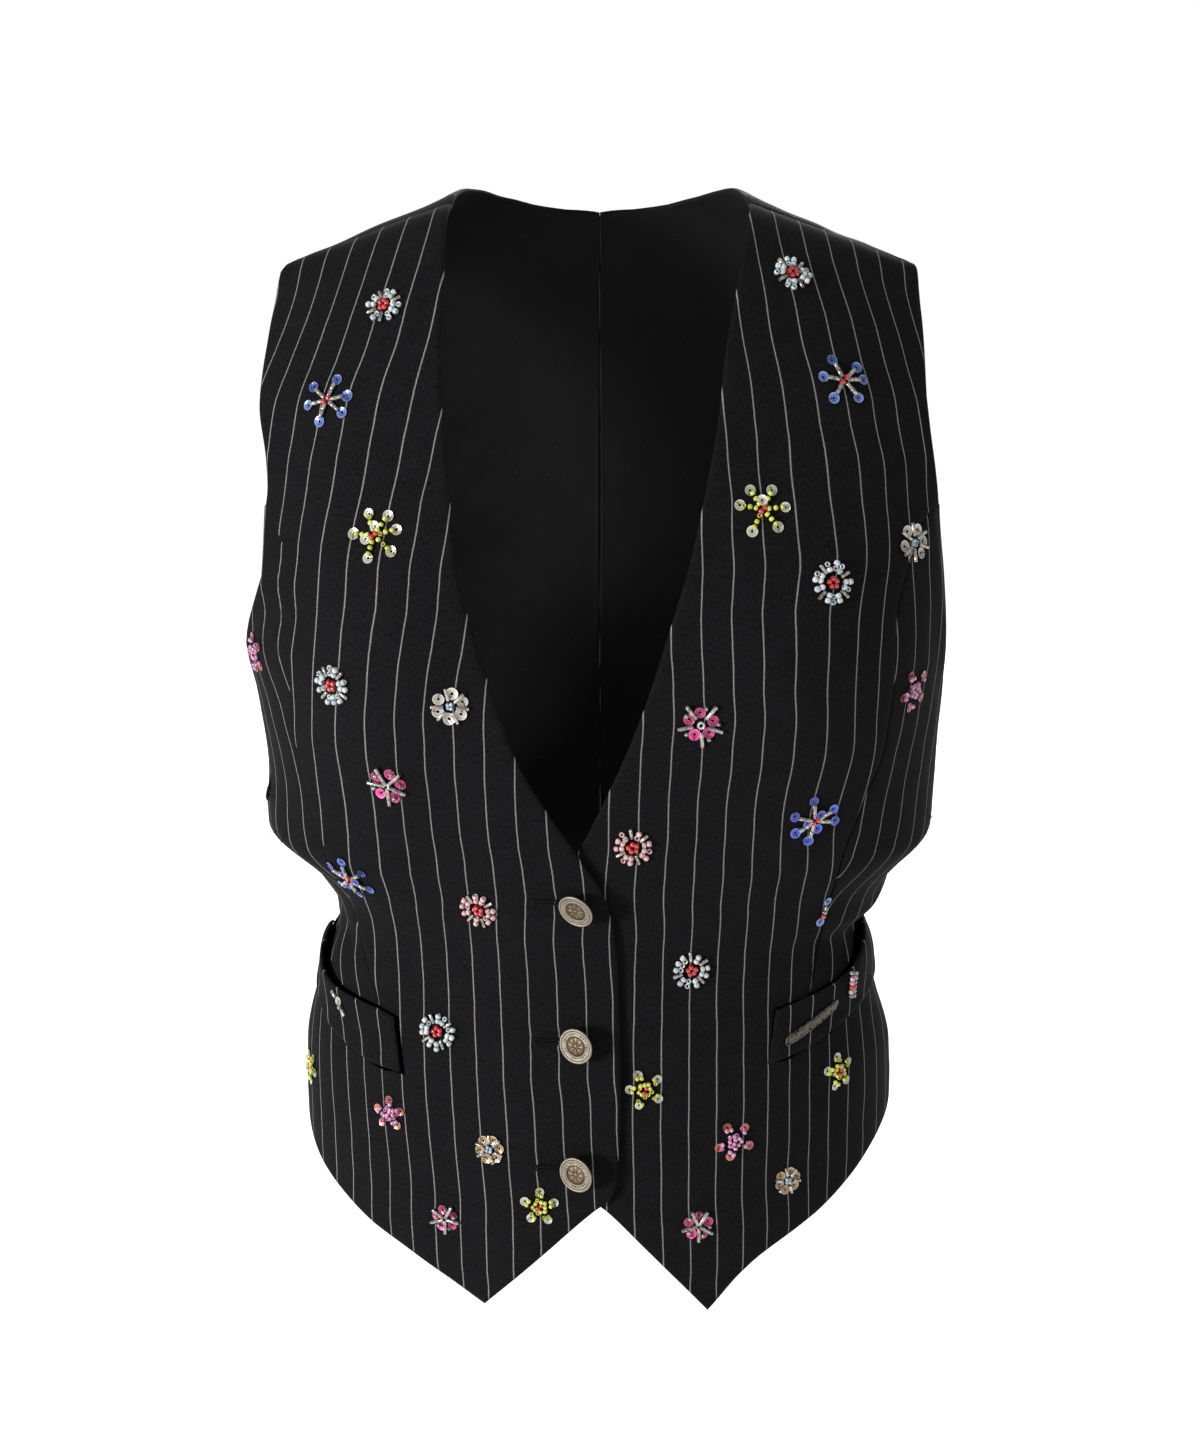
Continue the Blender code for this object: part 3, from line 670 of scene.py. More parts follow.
# ---- finishes
@dataclass(frozen=True)
class Suiting:
    """Dark worsted with a twisted pale pinstripe; the lay is across and along the stripes."""

    name: str
    pitch: float = 12.7
    stripe: float = 0.5
    dark: Colour = (0.0094, 0.0087, 0.0098)
    pale: Colour = (0.36, 0.344, 0.325)

    def material(self) -> Material:
        """Builds the cloth: stripe, ribs, weave, flecks of lint and a dry surface.

        Returns:
            The new material.
        """
        g = Graph(self.name)
        across, along = (wire * (1 / MM) for wire in g.lay())
        sway = g.noise(0.024, 1.0, (across * 0.3, along)) - 0.5
        wander = sway * 6.5 + g.noise(0.06, 1.0, (across * 0.2, along)) - 0.5
        slub = g.noise(0.9, 2.0, (across * 0.4, along)) - 0.5
        shifted = across + wander * 0.7 + slub * 0.35
        offset = ((shifted / self.pitch + 0.5).fract() - 0.5) * self.pitch
        distance = offset.absolute()
        stripe = distance.step(self.stripe * 0.5 + 0.18, self.stripe * 0.5 - 0.18)
        ply = ((along + offset * 1.1) * (2 * math.pi / 1.15)).wave()
        flock = g.noise(2.2, 3.0, (across, along * 0.45))
        worn = g.noise(0.11, 2.0, (across, along))
        rib = (across * (2 * math.pi * 9 / self.pitch)).wave()
        tick = g.noise(1.7, 1.0, (across * 1.5, along * 0.35))
        twill = ((across * 0.9 + along) * (2 * math.pi / 0.9)).wave()
        tone = 0.64 + rib * 0.22 + (tick - 0.5) * 2.5 + twill * 0.12 + (worn - 0.5) * 0.5
        ground = g.scaled(self.dark, g.maths("MAXIMUM", tone, 0.12))
        lint = g.noise(1.3, 1.0, (across * 1.3, along * 0.8)).step(0.75, 0.81)
        ground = g.mix(lint * 0.3, ground, (0.12, 0.115, 0.11))
        yarn = g.scaled(self.pale, 0.58 + ply * 0.18 + flock * 0.55 + (worn - 0.5) * 0.3)
        colour = g.mix(stripe * (0.62 + flock * 0.5).held(), ground, yarn)
        relief = stripe * (0.45 + ply * 0.4) + rib * 0.15 + twill * 0.15 + tick * 0.75
        return g.finish(Base_Color=colour, Roughness=0.86 - stripe * 0.1,
                        Normal=g.bump(relief, 0.16, 0.7), Sheen_Weight=0.012, Sheen_Roughness=0.5,
                        Specular_IOR_Level=0.07)


@dataclass(frozen=True)
class PlainCloth:
    """One-coloured woven cloth."""

    name: str
    colour: Colour = (0.0105, 0.0102, 0.0112)
    roughness: float = 0.68
    thread: float = 0.55
    sheen: float = 0.03
    shine: float = 0.12

    def material(self) -> Material:
        """Builds a fine weave with slow tone changes and a little lint.

        Returns:
            The new material.
        """
        g = Graph(self.name)
        across, along = (wire * (1 / MM) for wire in g.lay())
        warp, weft = ((wire * (2 * math.pi / self.thread)).wave() for wire in (across, along))
        patchy = g.noise(0.05, 3.0, (across, along))
        slub = g.noise(1.2, 2.0, (across * 0.25, along * 1.6))
        lint = g.noise(0.5, 1.0, (across, along)).step(0.75, 0.79)
        tone = 0.72 + (patchy - 0.5) * 0.5 + warp * weft * 0.35 + (slub - 0.5) * 0.6
        colour = g.mix(lint * 0.25, g.scaled(self.colour, tone), (0.12, 0.12, 0.12))
        relief = warp * 0.3 + weft * 0.3 + slub * 0.4
        return g.finish(Base_Color=colour, Roughness=self.roughness + (patchy - 0.5) * 0.16,
                        Normal=g.bump(relief, 0.1, 0.6), Sheen_Weight=self.sheen,
                        Specular_IOR_Level=self.shine)


@dataclass(frozen=True)
class CastMetal:
    """Cast metal whose hollows are tarnished; the second lay number is the height of the relief."""

    name: str
    bright: Colour
    dull: Colour
    roughness: float = 0.34
    grain: float = 2600.0
    wear: float = 0.5
    cloud_grain: float = 220.0

    def material(self) -> Material:
        """Builds bright raised parts, dark hollows and fine wear marks.

        Returns:
            The new material.
        """
        g = Graph(self.name)
        _, height = g.lay()
        speck = g.noise(self.grain, 3.0)
        cloud = g.noise(self.cloud_grain, 2.0)
        lit = (height + (cloud - 0.5) * self.wear).step(0.15, 0.8)
        colour = g.scaled(g.mix(lit, self.dull, self.bright), 0.86 + (speck - 0.5) * 0.3)
        rough = self.roughness + 0.2 - lit * 0.2 + (speck - 0.5) * 0.18
        return g.finish(Base_Color=colour, Metallic=1.0, Roughness=rough.held(),
                        Normal=g.bump(speck, 0.05, 0.5))


@dataclass(frozen=True)
class Glass:
    """Small glass beads and cut bugles, each a little different."""

    name: str
    colour: Colour
    # paler colour, reached both by each bead's own tone and by the painted glints
    other: Colour
    roughness: float = 0.12
    metallic: float = 0.0

    def material(self) -> Material:
        """Builds glass with a tone of its own for each bead, and painted glints: small patches
        pushed towards the paler colour that stand in for highlights and refractions.

        Returns:
            The new material.
        """
        g = Graph(self.name)
        own = g.island()
        # painted glints: noise patches that lighten the glass, standing in for highlights and
        # refractions
        painted_glint = g.noise(750.0, 1.0).step(0.36, 0.62)
        tone = (painted_glint * 0.75 + own * 0.3).held()
        colour = g.scaled(g.mix(tone, self.colour, self.other), 0.86 + own * 0.2)
        return g.finish(Base_Color=colour, Metallic=self.metallic, Coat_Weight=0.7,
                        Coat_Roughness=0.05, Specular_IOR_Level=0.7,
                        Roughness=(self.roughness + (1 - painted_glint) * 0.12).held())


@dataclass(frozen=True)
class Foil:
    """Cupped film sequins, paler round the rim; the first lay number is the radius."""

    name: str
    deep: Colour
    rim: Colour

    def material(self) -> Material:
        """Builds a fluted, shiny film.

        Returns:
            The new material.
        """
        g = Graph(self.name)
        radius, angle = g.lay()
        own = g.island()
        flute = ((angle + own * 6.0) * 12.0).wave()
        edge = (radius + (own - 0.5) * 0.25).step(0.62, 0.95)
        hub = radius.step(0.42, 0.24)
        tint = g.mix((edge * 0.75 + flute * 0.12 + hub * 0.5).held(), self.deep, self.rim)
        colour = g.scaled(tint, 0.74 + own * 0.45)
        return g.finish(Base_Color=colour, Metallic=0.35, Roughness=0.22 + flute * 0.1,
                        Coat_Weight=0.5, Coat_Roughness=0.1, Normal=g.bump(flute, 0.05, 0.6))


@dataclass(frozen=True)
class Thread:
    """Twisted sewing thread; the first lay number runs along it."""

    name: str
    colour: Colour = (0.012, 0.012, 0.013)
    turns: float = 9.0

    def material(self) -> Material:
        """Builds a two-ply twist.

        Returns:
            The new material.
        """
        g = Graph(self.name)
        along, angle = g.lay()
        twist = (along * (2 * math.pi * self.turns) + angle).wave()
        fuzz = g.noise(1500.0, 2.0)
        colour = g.scaled(self.colour, 0.6 + twist * 0.5 + fuzz * 0.5)
        return g.finish(Base_Color=colour, Roughness=0.75 + fuzz * 0.1,
                        Normal=g.bump(twist, 0.06, 0.6), Specular_IOR_Level=0.12)


@dataclass(frozen=True)
class StudioPaper:
    """Pale paper under the garment."""

    name: str
    colour: Colour = (0.80, 0.80, 0.80)
    glow: float = 0.74

    def material(self) -> Material:
        """Builds a plain matt surface with the faintest mottle.

        Returns:
            The new material.
        """
        g = Graph(self.name)
        tone = g.noise(2.0, 2.0)
        return g.finish(Base_Color=g.scaled(self.colour, 0.97 + tone * 0.06), Roughness=0.9,
                        Emission_Color=(1.0, 1.0, 1.0), Emission_Strength=self.glow)


SUITING = Suiting("pinstripe_suiting")
WELT_SUITING = Suiting("pinstripe_suiting_welt")
BACK_CLOTH = PlainCloth("plain_back_cloth")
INSIDE_CLOTH = PlainCloth("plain_inside_cloth", colour=(0.008, 0.008, 0.009), roughness=0.6)
# Near-black, unshining sheet for the pocket mouths: painted shade in the mouth, and painted shadow
# at the welt's inner end and along its foot.
MOUTH_PAINTED_SHADE = PlainCloth("pocket_mouth_cloth", colour=(0.001, 0.001, 0.001), roughness=0.95,
                          sheen=0.0, shine=0.0)
BLACK_THREAD = Thread("black_thread", colour=(0.007, 0.007, 0.0075))
BUTTON_RIM = CastMetal("button_rim_metal", (0.34, 0.295, 0.235), (0.12, 0.092, 0.062), 0.5)
BUTTON_FACE = CastMetal("button_face_metal", (0.20, 0.152, 0.10), (0.045, 0.031, 0.018), 0.46)
BAR_METAL = CastMetal("pewter_bar_metal", (0.125, 0.106, 0.086), (0.012, 0.009, 0.007), 0.42,
                      grain=1500.0, wear=5.0, cloud_grain=1000.0)


# ---- cloth panels
def patch(edges: Sequence[Edge], across: Array, up: Array) -> Place:
    """Places in a patch between four edges that meet at their corners.

    Args:
        edges: Inner edge and outer edge over up, foot and top over across.
        across: Positions across, 0 to 1.
        up: Positions up, 0 to 1.

    Returns:
        Turn and level tables, rows up and columns across.
    """
    inner, outer, foot, top = edges
    starts, ends, low_edge, high_edge = inner(up), outer(up), foot(across), top(across)
    low, high = ((1 - up) ** 4)[:, None], (up ** 2)[:, None]
    places = []
    for start, end, below, above in zip(starts, ends, low_edge, high_edge):
        body = lerp(start[:, None], end[:, None], across)
        sag = below - lerp(below[0], below[-1], across)
        rise = above - lerp(above[0], above[-1], across)
        places.append(body + low * sag + high * rise)
    return places[0], places[1]


def ripple(turn: Array, level: Array, seed: int, height: float = 0.16) -> Array:
    """The slight unevenness that no pressed cloth is without.

    Args:
        turn: Angles round the body.
        level: Heights, in mm.
        seed: Start of its run of chance.
        height: Size of the waves, in mm.

    Returns:
        Heights over the smooth cloth, in mm.
    """
    draw = random.Random(seed)
    total = np.zeros(np.shape(turn))
    for _ in range(7):
        heading, size = draw.uniform(0, math.pi), draw.uniform(18, 60)
        run = np.degrees(turn) * MM_A_DEGREE * math.cos(heading) + level * math.sin(heading)
        total += height * size / 40 * np.sin(2 * math.pi * run / size + draw.uniform(0, 6.3))
    return total / 2


def edge_height(distance: Array, roll: float = 0.75, thick: float = 0.2,
                wide: float = 6.0) -> Array:
    """Height of a turned edge: it rolls in at the very edge, and its folded strip stands proud."""
    return thick * (1 - ease((distance - wide) / 1.8)) - roll * np.exp(-((distance / 0.85) ** 2))


def close_ends(count: int, first: float = 0.004) -> Array:
    """Positions from 0 to 1 that are close together at both ends."""
    near = np.array([0.0, first, first * 2.4, first * 4.5, first * 8])
    return np.concatenate([near, np.linspace(near[-1], 1 - near[-1], count)[1:-1], 1 - near[::-1]])


@dataclass
class ClothPanel:
    """One panel of cloth, cut from the worn form."""

    side: Side
    form: WornForm
    creases: tuple[Crease, ...]
    outer: list[tuple[Array, Array]] = field(default_factory=list, init=False)

    def flip(self, faces: Array) -> Array:
        """Faces turned so that they look out of the garment."""
        left_hand = self.side.value * self.form.outward < 0
        return faces[:, ::-1] if left_hand else faces

    def sheet(self, shape: Shape, points: Array, across: Array,
              level: Array) -> tuple[Array, Array]:
        """Adds a grid of cloth to a shape.

        Args:
            shape: Shape that it goes to.
            points: Grid of points, rows by columns by three.
            across: Places across the grain, in mm.
            level: Places along it, in mm.

        Returns:
            Its points and faces, for what is sewn on it.
        """
        faces = self.flip(grid_faces(*level.shape))
        shape.add(points.reshape(-1, 3), faces, table(across * MM, level * MM))
        return points.reshape(-1, 3), faces

    def finish(self, shape: Shape, kind: str, cloth: Any, slot: str, wall: float = CLOTH_WALL,
               weld: bool = False) -> Object:
        """Makes and dresses a panel or welt from its outer face.

        Args:
            shape: The outer face.
            kind: Name of the node that it replaces, less its side.
            cloth: Finish of the outer face.
            slot: Not used.
            wall: Thickness in mm.
            weld: True to join points that lie on each other.

        Returns:
            The new piece.
        """
        word = self.side.word
        finishes = [FINISHES[cloth], FINISHES[INSIDE_CLOTH]]
        piece = shape.make(f"cloth_{kind}_{word}", finishes, weld=weld)
        thicken(piece, wall, inner_finish=1)
        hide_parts(f"{kind}_{word}")
        return piece


@dataclass(frozen=True)
class Pull:
    """A place where the stripes are drawn this many mm towards the centre."""

    x: float
    level: float
    shift: float
    wide: float = 16.0
    high: float = 7.0


@dataclass
class FrontPanel(ClothPanel):
    """A front: the main part from the opening to the dart, and the flank beyond the dart."""

    neck: Curve
    arm: Curve
    dart: Curve
    hem_inner: Curve
    hem_outer: Curve
    lean: Curve
    spread: Curve
    dart_depth: Curve
    side_top: float
    side_hem: float
    seam_phase: float
    seed: int
    buttonhole_levels: tuple[float, ...] = ()
    pulls: tuple[Pull, ...] = ()

    DART_TOP = -115.0
    POINT_AT = 0.4
    BEND_AT, BEND_RISE = 0.72, 31.0
    SIDE_ROWS = Curve(((0.0, 0.0), (0.43, 0.72), (1.0, 1.0)))
    PITCH = 12.7
    BUTTON_X = -9.0
    LAP_RISE, LAP_START, LAP_SPREAD, LAP_TOP, LAP_DROP = 3.6, -75.0, 40.0, -170.0, 60.0
    WAIST_TURN, WAIST_LEVEL = 76.0, -312.0
    OWN_ABOVE, OWN_FADE = -294.0, 36.0

    @property
    def dart_foot(self) -> float:
        """Level of the dart's foot."""
        return self.dart.knots[0][0]

    @property
    def split(self) -> float:
        """Share of the main part's height that lies below the dart's top."""
        return (self.DART_TOP - self.dart_foot) / -self.dart_foot

    def lap(self, x: Array, level: Array) -> Array:
        """How far the right front rides over the left, in mm; nothing on the left front itself."""
        over = self.LAP_RISE * ease((x - self.LAP_START) / self.LAP_SPREAD)
        return over * (self.side is Side.RIGHT) * ease((self.LAP_TOP - level) / self.LAP_DROP)

    def surface(self, turn: Array, level: Array, lift: Any = 0.0, fine: bool = True) -> Array:
        """Points on the outer face.

        Args:
            turn: Angles round the body.
            level: Heights.
            lift: How far off the face, in mm.
            fine: True to follow the creases and the unevenness too.

        Returns:
            Points in mm.
        """
        turn, level = np.broadcast_arrays(np.asarray(turn, float), np.asarray(level, float))
        point = self.form.point(self.side, turn, level)
        off = lift + self.lap(point[..., 0], level)
        if fine:
            off = off + crease_height(self.creases, turn, level) + ripple(turn, level, self.seed)
        return point + self.form.normal(self.side, turn, level) * np.asarray(off)[..., None]

    def main_grain(self, turn: Array, level: Array) -> Array:
        """Count of pinstripes from the fastening line, a whole number on each stripe.

        Args:
            turn: Angles round the body.
            level: Heights, in mm.

        Returns:
            The counts.
        """
        start = self.form.turn_at(self.side, self.BUTTON_X, level)
        run = self.form.arc(self.side, start, turn, level) / self.PITCH
        plain = run - self.lean(level)
        counted = plain - self.spread(level) * ease((plain - 6.0) / 4.0) + self.drawn(turn, level)
        counted = counted - 0.08 * ease((-run - 0.3) / 0.7)
        x = self.form.point(self.side, turn, level)[..., 0]
        for hole in self.buttonhole_levels:
            near = np.exp(-(((level - hole) / 4.0) ** 2) - ((x + 20.0) / 11.0) ** 2)
            counted = counted + 0.07 * near * np.sin((level - hole) / 2.2)
        return counted

    def seam_grain(self, turn: Array, level: Array) -> Array:
        """Count of pinstripes in from the side seam, for the part outside the dart."""
        rest = self.form.arc(self.side, turn, np.full(np.shape(turn), RIGHT_ANGLE), level)
        return self.seam_phase - rest / self.PITCH + self.drawn(turn, level)

    def drawn(self, turn: Array, level: Array) -> Array:
        """How far the pulls draw the grain in, in stripes."""
        x = self.form.point(self.side, turn, level)[..., 0]
        return sum((pull.shift / self.PITCH * np.exp(-(((x - pull.x) / pull.wide) ** 2)
                                                     - ((level - pull.level) / pull.high) ** 2)
                    for pull in self.pulls), np.zeros(np.shape(x)))

    def flank_grain(self, turn: Array, level: Array) -> Array:
        """The flank's count: its own above the waist, the main part's below it.

        Args:
            turn: Angles round the body.
            level: Heights, in mm.

        Returns:
            The counts.
        """
        near = np.radians([self.WAIST_TURN]), np.array([self.WAIST_LEVEL])
        whole = np.round(self.main_grain(*near) - self.seam_grain(*near))
        seam = self.seam_grain(turn, level)
        share = ease((self.OWN_ABOVE - level) / self.OWN_FADE)
        return seam + share * (self.main_grain(turn, level) - whole - seam)

    def main_edges(self) -> tuple[Edge, Edge, Edge, Edge]:
        """Edges of the part from the opening to the dart and armhole.

        Returns:
            Inner and outer edge, foot and top.
        """
        neck_foot, dart_foot, side = self.neck.knots[0][0], self.dart_foot, self.side
        point_turn, corner_turn = self.hem_outer.knots[0][0], self.hem_inner.knots[0][0]
        dart_turn = math.degrees(self.form.turn_at(side, self.dart(dart_foot), dart_foot))

        def opening(up: Array) -> Place:
            """Front opening and neck edge."""
            level = lerp(neck_foot, 0.0, up)
            return self.form.turn_at(side, self.neck(level), level), level

        def dart_or_arm(up: Array) -> Place:
            """Dart below and armhole above."""
            level = lerp(dart_foot, 0.0, up)
            return self.form.turn_at(side, np.where(level < self.DART_TOP - 0.01, self.dart(level),
                                                    self.arm(level)), level), level

        def hem(across: Array) -> Place:
            """Pointed hem.

            Args:
                across: Shares of the width.

            Returns:
                Places on the edge.
            """
            past = (across - self.POINT_AT) / (1 - self.POINT_AT)
            inner = lerp(corner_turn, point_turn, across / self.POINT_AT)
            turn = np.where(across <= self.POINT_AT, inner, lerp(point_turn, dart_turn, past))
            level = np.where(across <= self.POINT_AT, self.hem_inner(turn), self.hem_outer(turn))
            return np.radians(turn), level

        def shoulder(across: Array) -> Place:
            """Shoulder seam."""
            x, level = lerp(self.neck(0.0), self.arm(0.0), across), np.zeros_like(across)
            return self.form.turn_at(side, x, level), level

        return opening, dart_or_arm, hem, shoulder

    def flank_edges(self) -> tuple[Edge, Edge, Edge, Edge]:
        """Edges of the part from the dart to the side seam.

        Returns:
            Inner and outer edge, foot and top.
        """
        _, dart_or_arm, hem, _ = self.main_edges()
        first = math.degrees(float(hem(np.array([1.0]))[0][0]))
        bend = self.side_top + self.BEND_RISE
        bend_turn = float(self.form.turn_at(self.side, self.arm(bend), bend))

        def dart_line(up: Array) -> Place:
            """Dart."""
            return dart_or_arm(up * self.split)

        def side_seam(up: Array) -> Place:
            """Side seam."""
            level = lerp(self.side_hem, self.side_top, self.SIDE_ROWS(up))
            return np.full_like(up, RIGHT_ANGLE), level

        def side_hem(across: Array) -> Place:
            """Hem from the dart to the side seam."""
            turn = lerp(first, 90.0, across)
            return np.radians(turn), self.hem_outer(turn)

        def under_arm(across: Array) -> Place:
            """Armhole below the dart's top.

            Args:
                across: Shares of the width.

            Returns:
                Places on the edge.
            """
            level = lerp(self.DART_TOP, bend, across / self.BEND_AT)
            last = np.clip((across - self.BEND_AT) / (1 - self.BEND_AT), 0.0, 1.0)
            turn = np.where(across <= self.BEND_AT,
                            self.form.turn_at(self.side, self.arm(level), level),
                            lerp(bend_turn, RIGHT_ANGLE, last))
            low = self.side_top + self.BEND_RISE * (1 - last) ** 2
            return turn, np.where(across <= self.BEND_AT, level, low)

        return dart_line, side_seam, side_hem, under_arm

    def main_relief(self, edges: tuple[Array, ...], level: Array) -> Array:
        """Turned edges of the main part, and its side of the dart.

        Args:
            edges: Distances from the opening, dart, hem and shoulder.
            level: Heights, in mm.

        Returns:
            Heights over the plain cloth, in mm.
        """
        opening, dart, hem, shoulder = edges
        trough = 0.35 * np.exp(-(((dart - 3.6) / 2.4) ** 2)) - np.exp(-((dart / 0.8) ** 2))
        height = edge_height(opening) + edge_height(hem, wide=14.0, thick=0.16)
        height += edge_height(shoulder, roll=0.45, thick=0.0)
        return height + np.where(level[:, -1:] >= self.DART_TOP - 0.01, edge_height(dart, wide=5.0),
                                 self.dart_depth(level) * trough)

    def flank_relief(self, edges: tuple[Array, ...], level: Array) -> Array:
        """Turned edges of the flank, and its side of the dart.

        Args:
            edges: Distances from the dart, side seam, hem and armhole.
            level: Heights, in mm.

        Returns:
            Heights over the plain cloth, in mm.
        """
        dart, seam, hem, arm = edges
        height = edge_height(seam, roll=0.5, thick=0.0) + edge_height(hem, wide=14.0, thick=0.16)
        height += edge_height(arm, wide=5.0) * (1 - np.exp(-dart / 4.0))
        return height - self.dart_depth(level) * np.exp(-((dart / 0.8) ** 2))

    def build(self) -> Object:
        """Builds and dresses the front, its seams lapping the back's a little.

        Returns:
            The new piece.
        """
        low = np.concatenate([[0.0, 0.004, 0.010], np.linspace(0.018, 1.0, 150)])
        levels = np.concatenate([np.linspace(self.DART_TOP, -12.0, 40)[1:],
                                 np.linspace(-12.0, -3.0, 8)[1:], [-2.0, -1.2, -0.6, -0.25, 0.0]])
        rows = np.concatenate([low * self.split, 1 - levels / self.dart_foot])
        columns = np.unique(np.append(close_ends(66), self.POINT_AT))
        shape = Shape()
        main = self.main_edges(), columns, rows, self.main_relief, self.main_grain
        flank = (self.flank_edges(), close_ends(30, 0.007), low, self.flank_relief,
                 self.flank_grain)
        for edges, across, up, relief, grain in (main, flank):
            turn, level = patch(edges, across, up)
            height = relief(margins(self.surface(turn, level, fine=False)), level)
            points = self.surface(turn, level, lift=height)
            y, lap = points[..., 1], SEAM_LAP / 2
            points[..., 1] = np.where(level < self.DART_TOP, np.minimum(y, lap), y + lap)
            self.outer.append(self.sheet(shape, points, grain(turn, level) * self.PITCH, level))
        return self.finish(shape, "front", SUITING, "pinstripe_suiting", weld=True)


@dataclass
class BackPanel(ClothPanel):
    """Half of the plain back, with a seam at the centre."""

    hem: Curve
    neck: Curve
    arm: Curve
    side_top: float
    side_hem: float
    seed: int

    NAPE, TOP = -12.0, 66.0
    UNDER_ARM_RISE = 31.0
    SHOULDER_FADE = 3.0

    def edges(self) -> tuple[Edge, Edge, Edge, Edge]:
        """Edges of the half back.

        Returns:
            Centre seam and neck, side seam and armhole, hem, shoulder.
        """
        foot, top, bend = self.side_hem, self.TOP, self.side_top + self.UNDER_ARM_RISE
        hem_foot, side_foot = self.hem.knots[0][1], self.hem.knots[-1][1]

        def centre_and_neck(up: Array) -> Place:
            """Centre seam to the nape, then the neck edge."""
            level = lerp(foot, top, up) + (hem_foot - foot) * (1 - up) ** 4
            return self.form.turn_at(self.side, self.side.value * np.where(
                level <= self.NAPE, -SEAM_LAP / 2, self.neck(level)), level), level

        def side_and_arm(up: Array) -> Place:
            """Side seam, then the armhole.

            Args:
                up: Shares of the height.

            Returns:
                Places on the edge.
            """
            level = lerp(foot, top, up)
            held = np.maximum(level, bend)
            turn = self.form.turn_at(self.side, self.side.value * self.arm(held), held)
            left = np.clip((level - self.side_top) / self.UNDER_ARM_RISE, 0.0, 1.0)
            return lerp(RIGHT_ANGLE, turn, np.sqrt(left)), level

        def hem(across: Array) -> Place:
            """Hem."""
            turn = lerp(0.0, 90.0, across)
            return np.radians(turn), self.hem(turn) + (foot - side_foot) * across ** 2

        def shoulder(across: Array) -> Place:
            """Shoulder seam."""
            x, level = lerp(self.neck(top), self.arm(top), across), np.full_like(across, top)
            return self.form.turn_at(self.side, self.side.value * x, level), level

        return centre_and_neck, side_and_arm, hem, shoulder

    def levels(self) -> Array:
        """Levels of the rows, close where the edges turn.

        Returns:
            Heights from the hem up, in mm.
        """
        bend = self.side_top + self.UNDER_ARM_RISE
        spans = ((self.side_hem, self.side_top, 56), (self.side_top, bend, 16), (bend, -65.0, 60),
                 (-65.0, self.NAPE, 24))
        low = np.concatenate([np.linspace(a, b, count)[:-1] for a, b, count in spans])
        start = [self.side_hem + 0.5, self.side_hem + 1.5]
        turn_in = self.NAPE + np.array([0.0, 0.3, 0.8, 1.5, 2.5, 4.0, 6.0, 8.5])
        over = np.linspace(0.0, self.TOP - 1.0, 40)
        return np.unique(np.concatenate([low, start, turn_in, over, [self.TOP - 0.4, self.TOP]]))

    def build(self) -> Object:
        """Builds and dresses the half back, its seams lapping their neighbours a little.

        Returns:
            The new piece.
        """
        levels = self.levels()
        up = (levels - levels[0]) / (levels[-1] - levels[0])
        turn, level = patch(self.edges(), close_ends(56), up)
        smooth = self.form.point(self.side, turn, level)
        centre, side, foot, top = margins(smooth)
        arm, neck = level[:, -1:] > self.side_top + 1.0, level[:, :1] > self.NAPE + 0.1
        height = crease_height(self.creases, turn, level) + ripple(turn, level, self.seed, 0.3)
        height += np.where(arm, edge_height(side, wide=5.0), edge_height(side, roll=0.5, thick=0.0))
        height += np.where(neck, edge_height(centre),
                           edge_height(centre, roll=0.6, thick=0.15, wide=9.0))
        height += edge_height(foot, wide=14.0, thick=0.16)
        height += edge_height(top, roll=0.45, thick=0.0)
        points = smooth + self.form.normal(self.side, turn, level) * height[..., None]
        x, y, z = np.moveaxis(points, -1, 0)
        sign = self.side.value
        points[..., 0] = sign * np.maximum(sign * x, -SEAM_LAP / 2)
        points[..., 1] = np.where(z < -200.0, np.maximum(y, -SEAM_LAP / 2), y)
        near_top = ease((level - self.TOP + self.SHOULDER_FADE) / self.SHOULDER_FADE)
        points[..., 1] -= SHOULDER_LAP * near_top
        shape = Shape()
        self.outer.append(self.sheet(shape, points, centre, level))
        return self.finish(shape, "back", BACK_CLOTH, "plain_black_cloth")


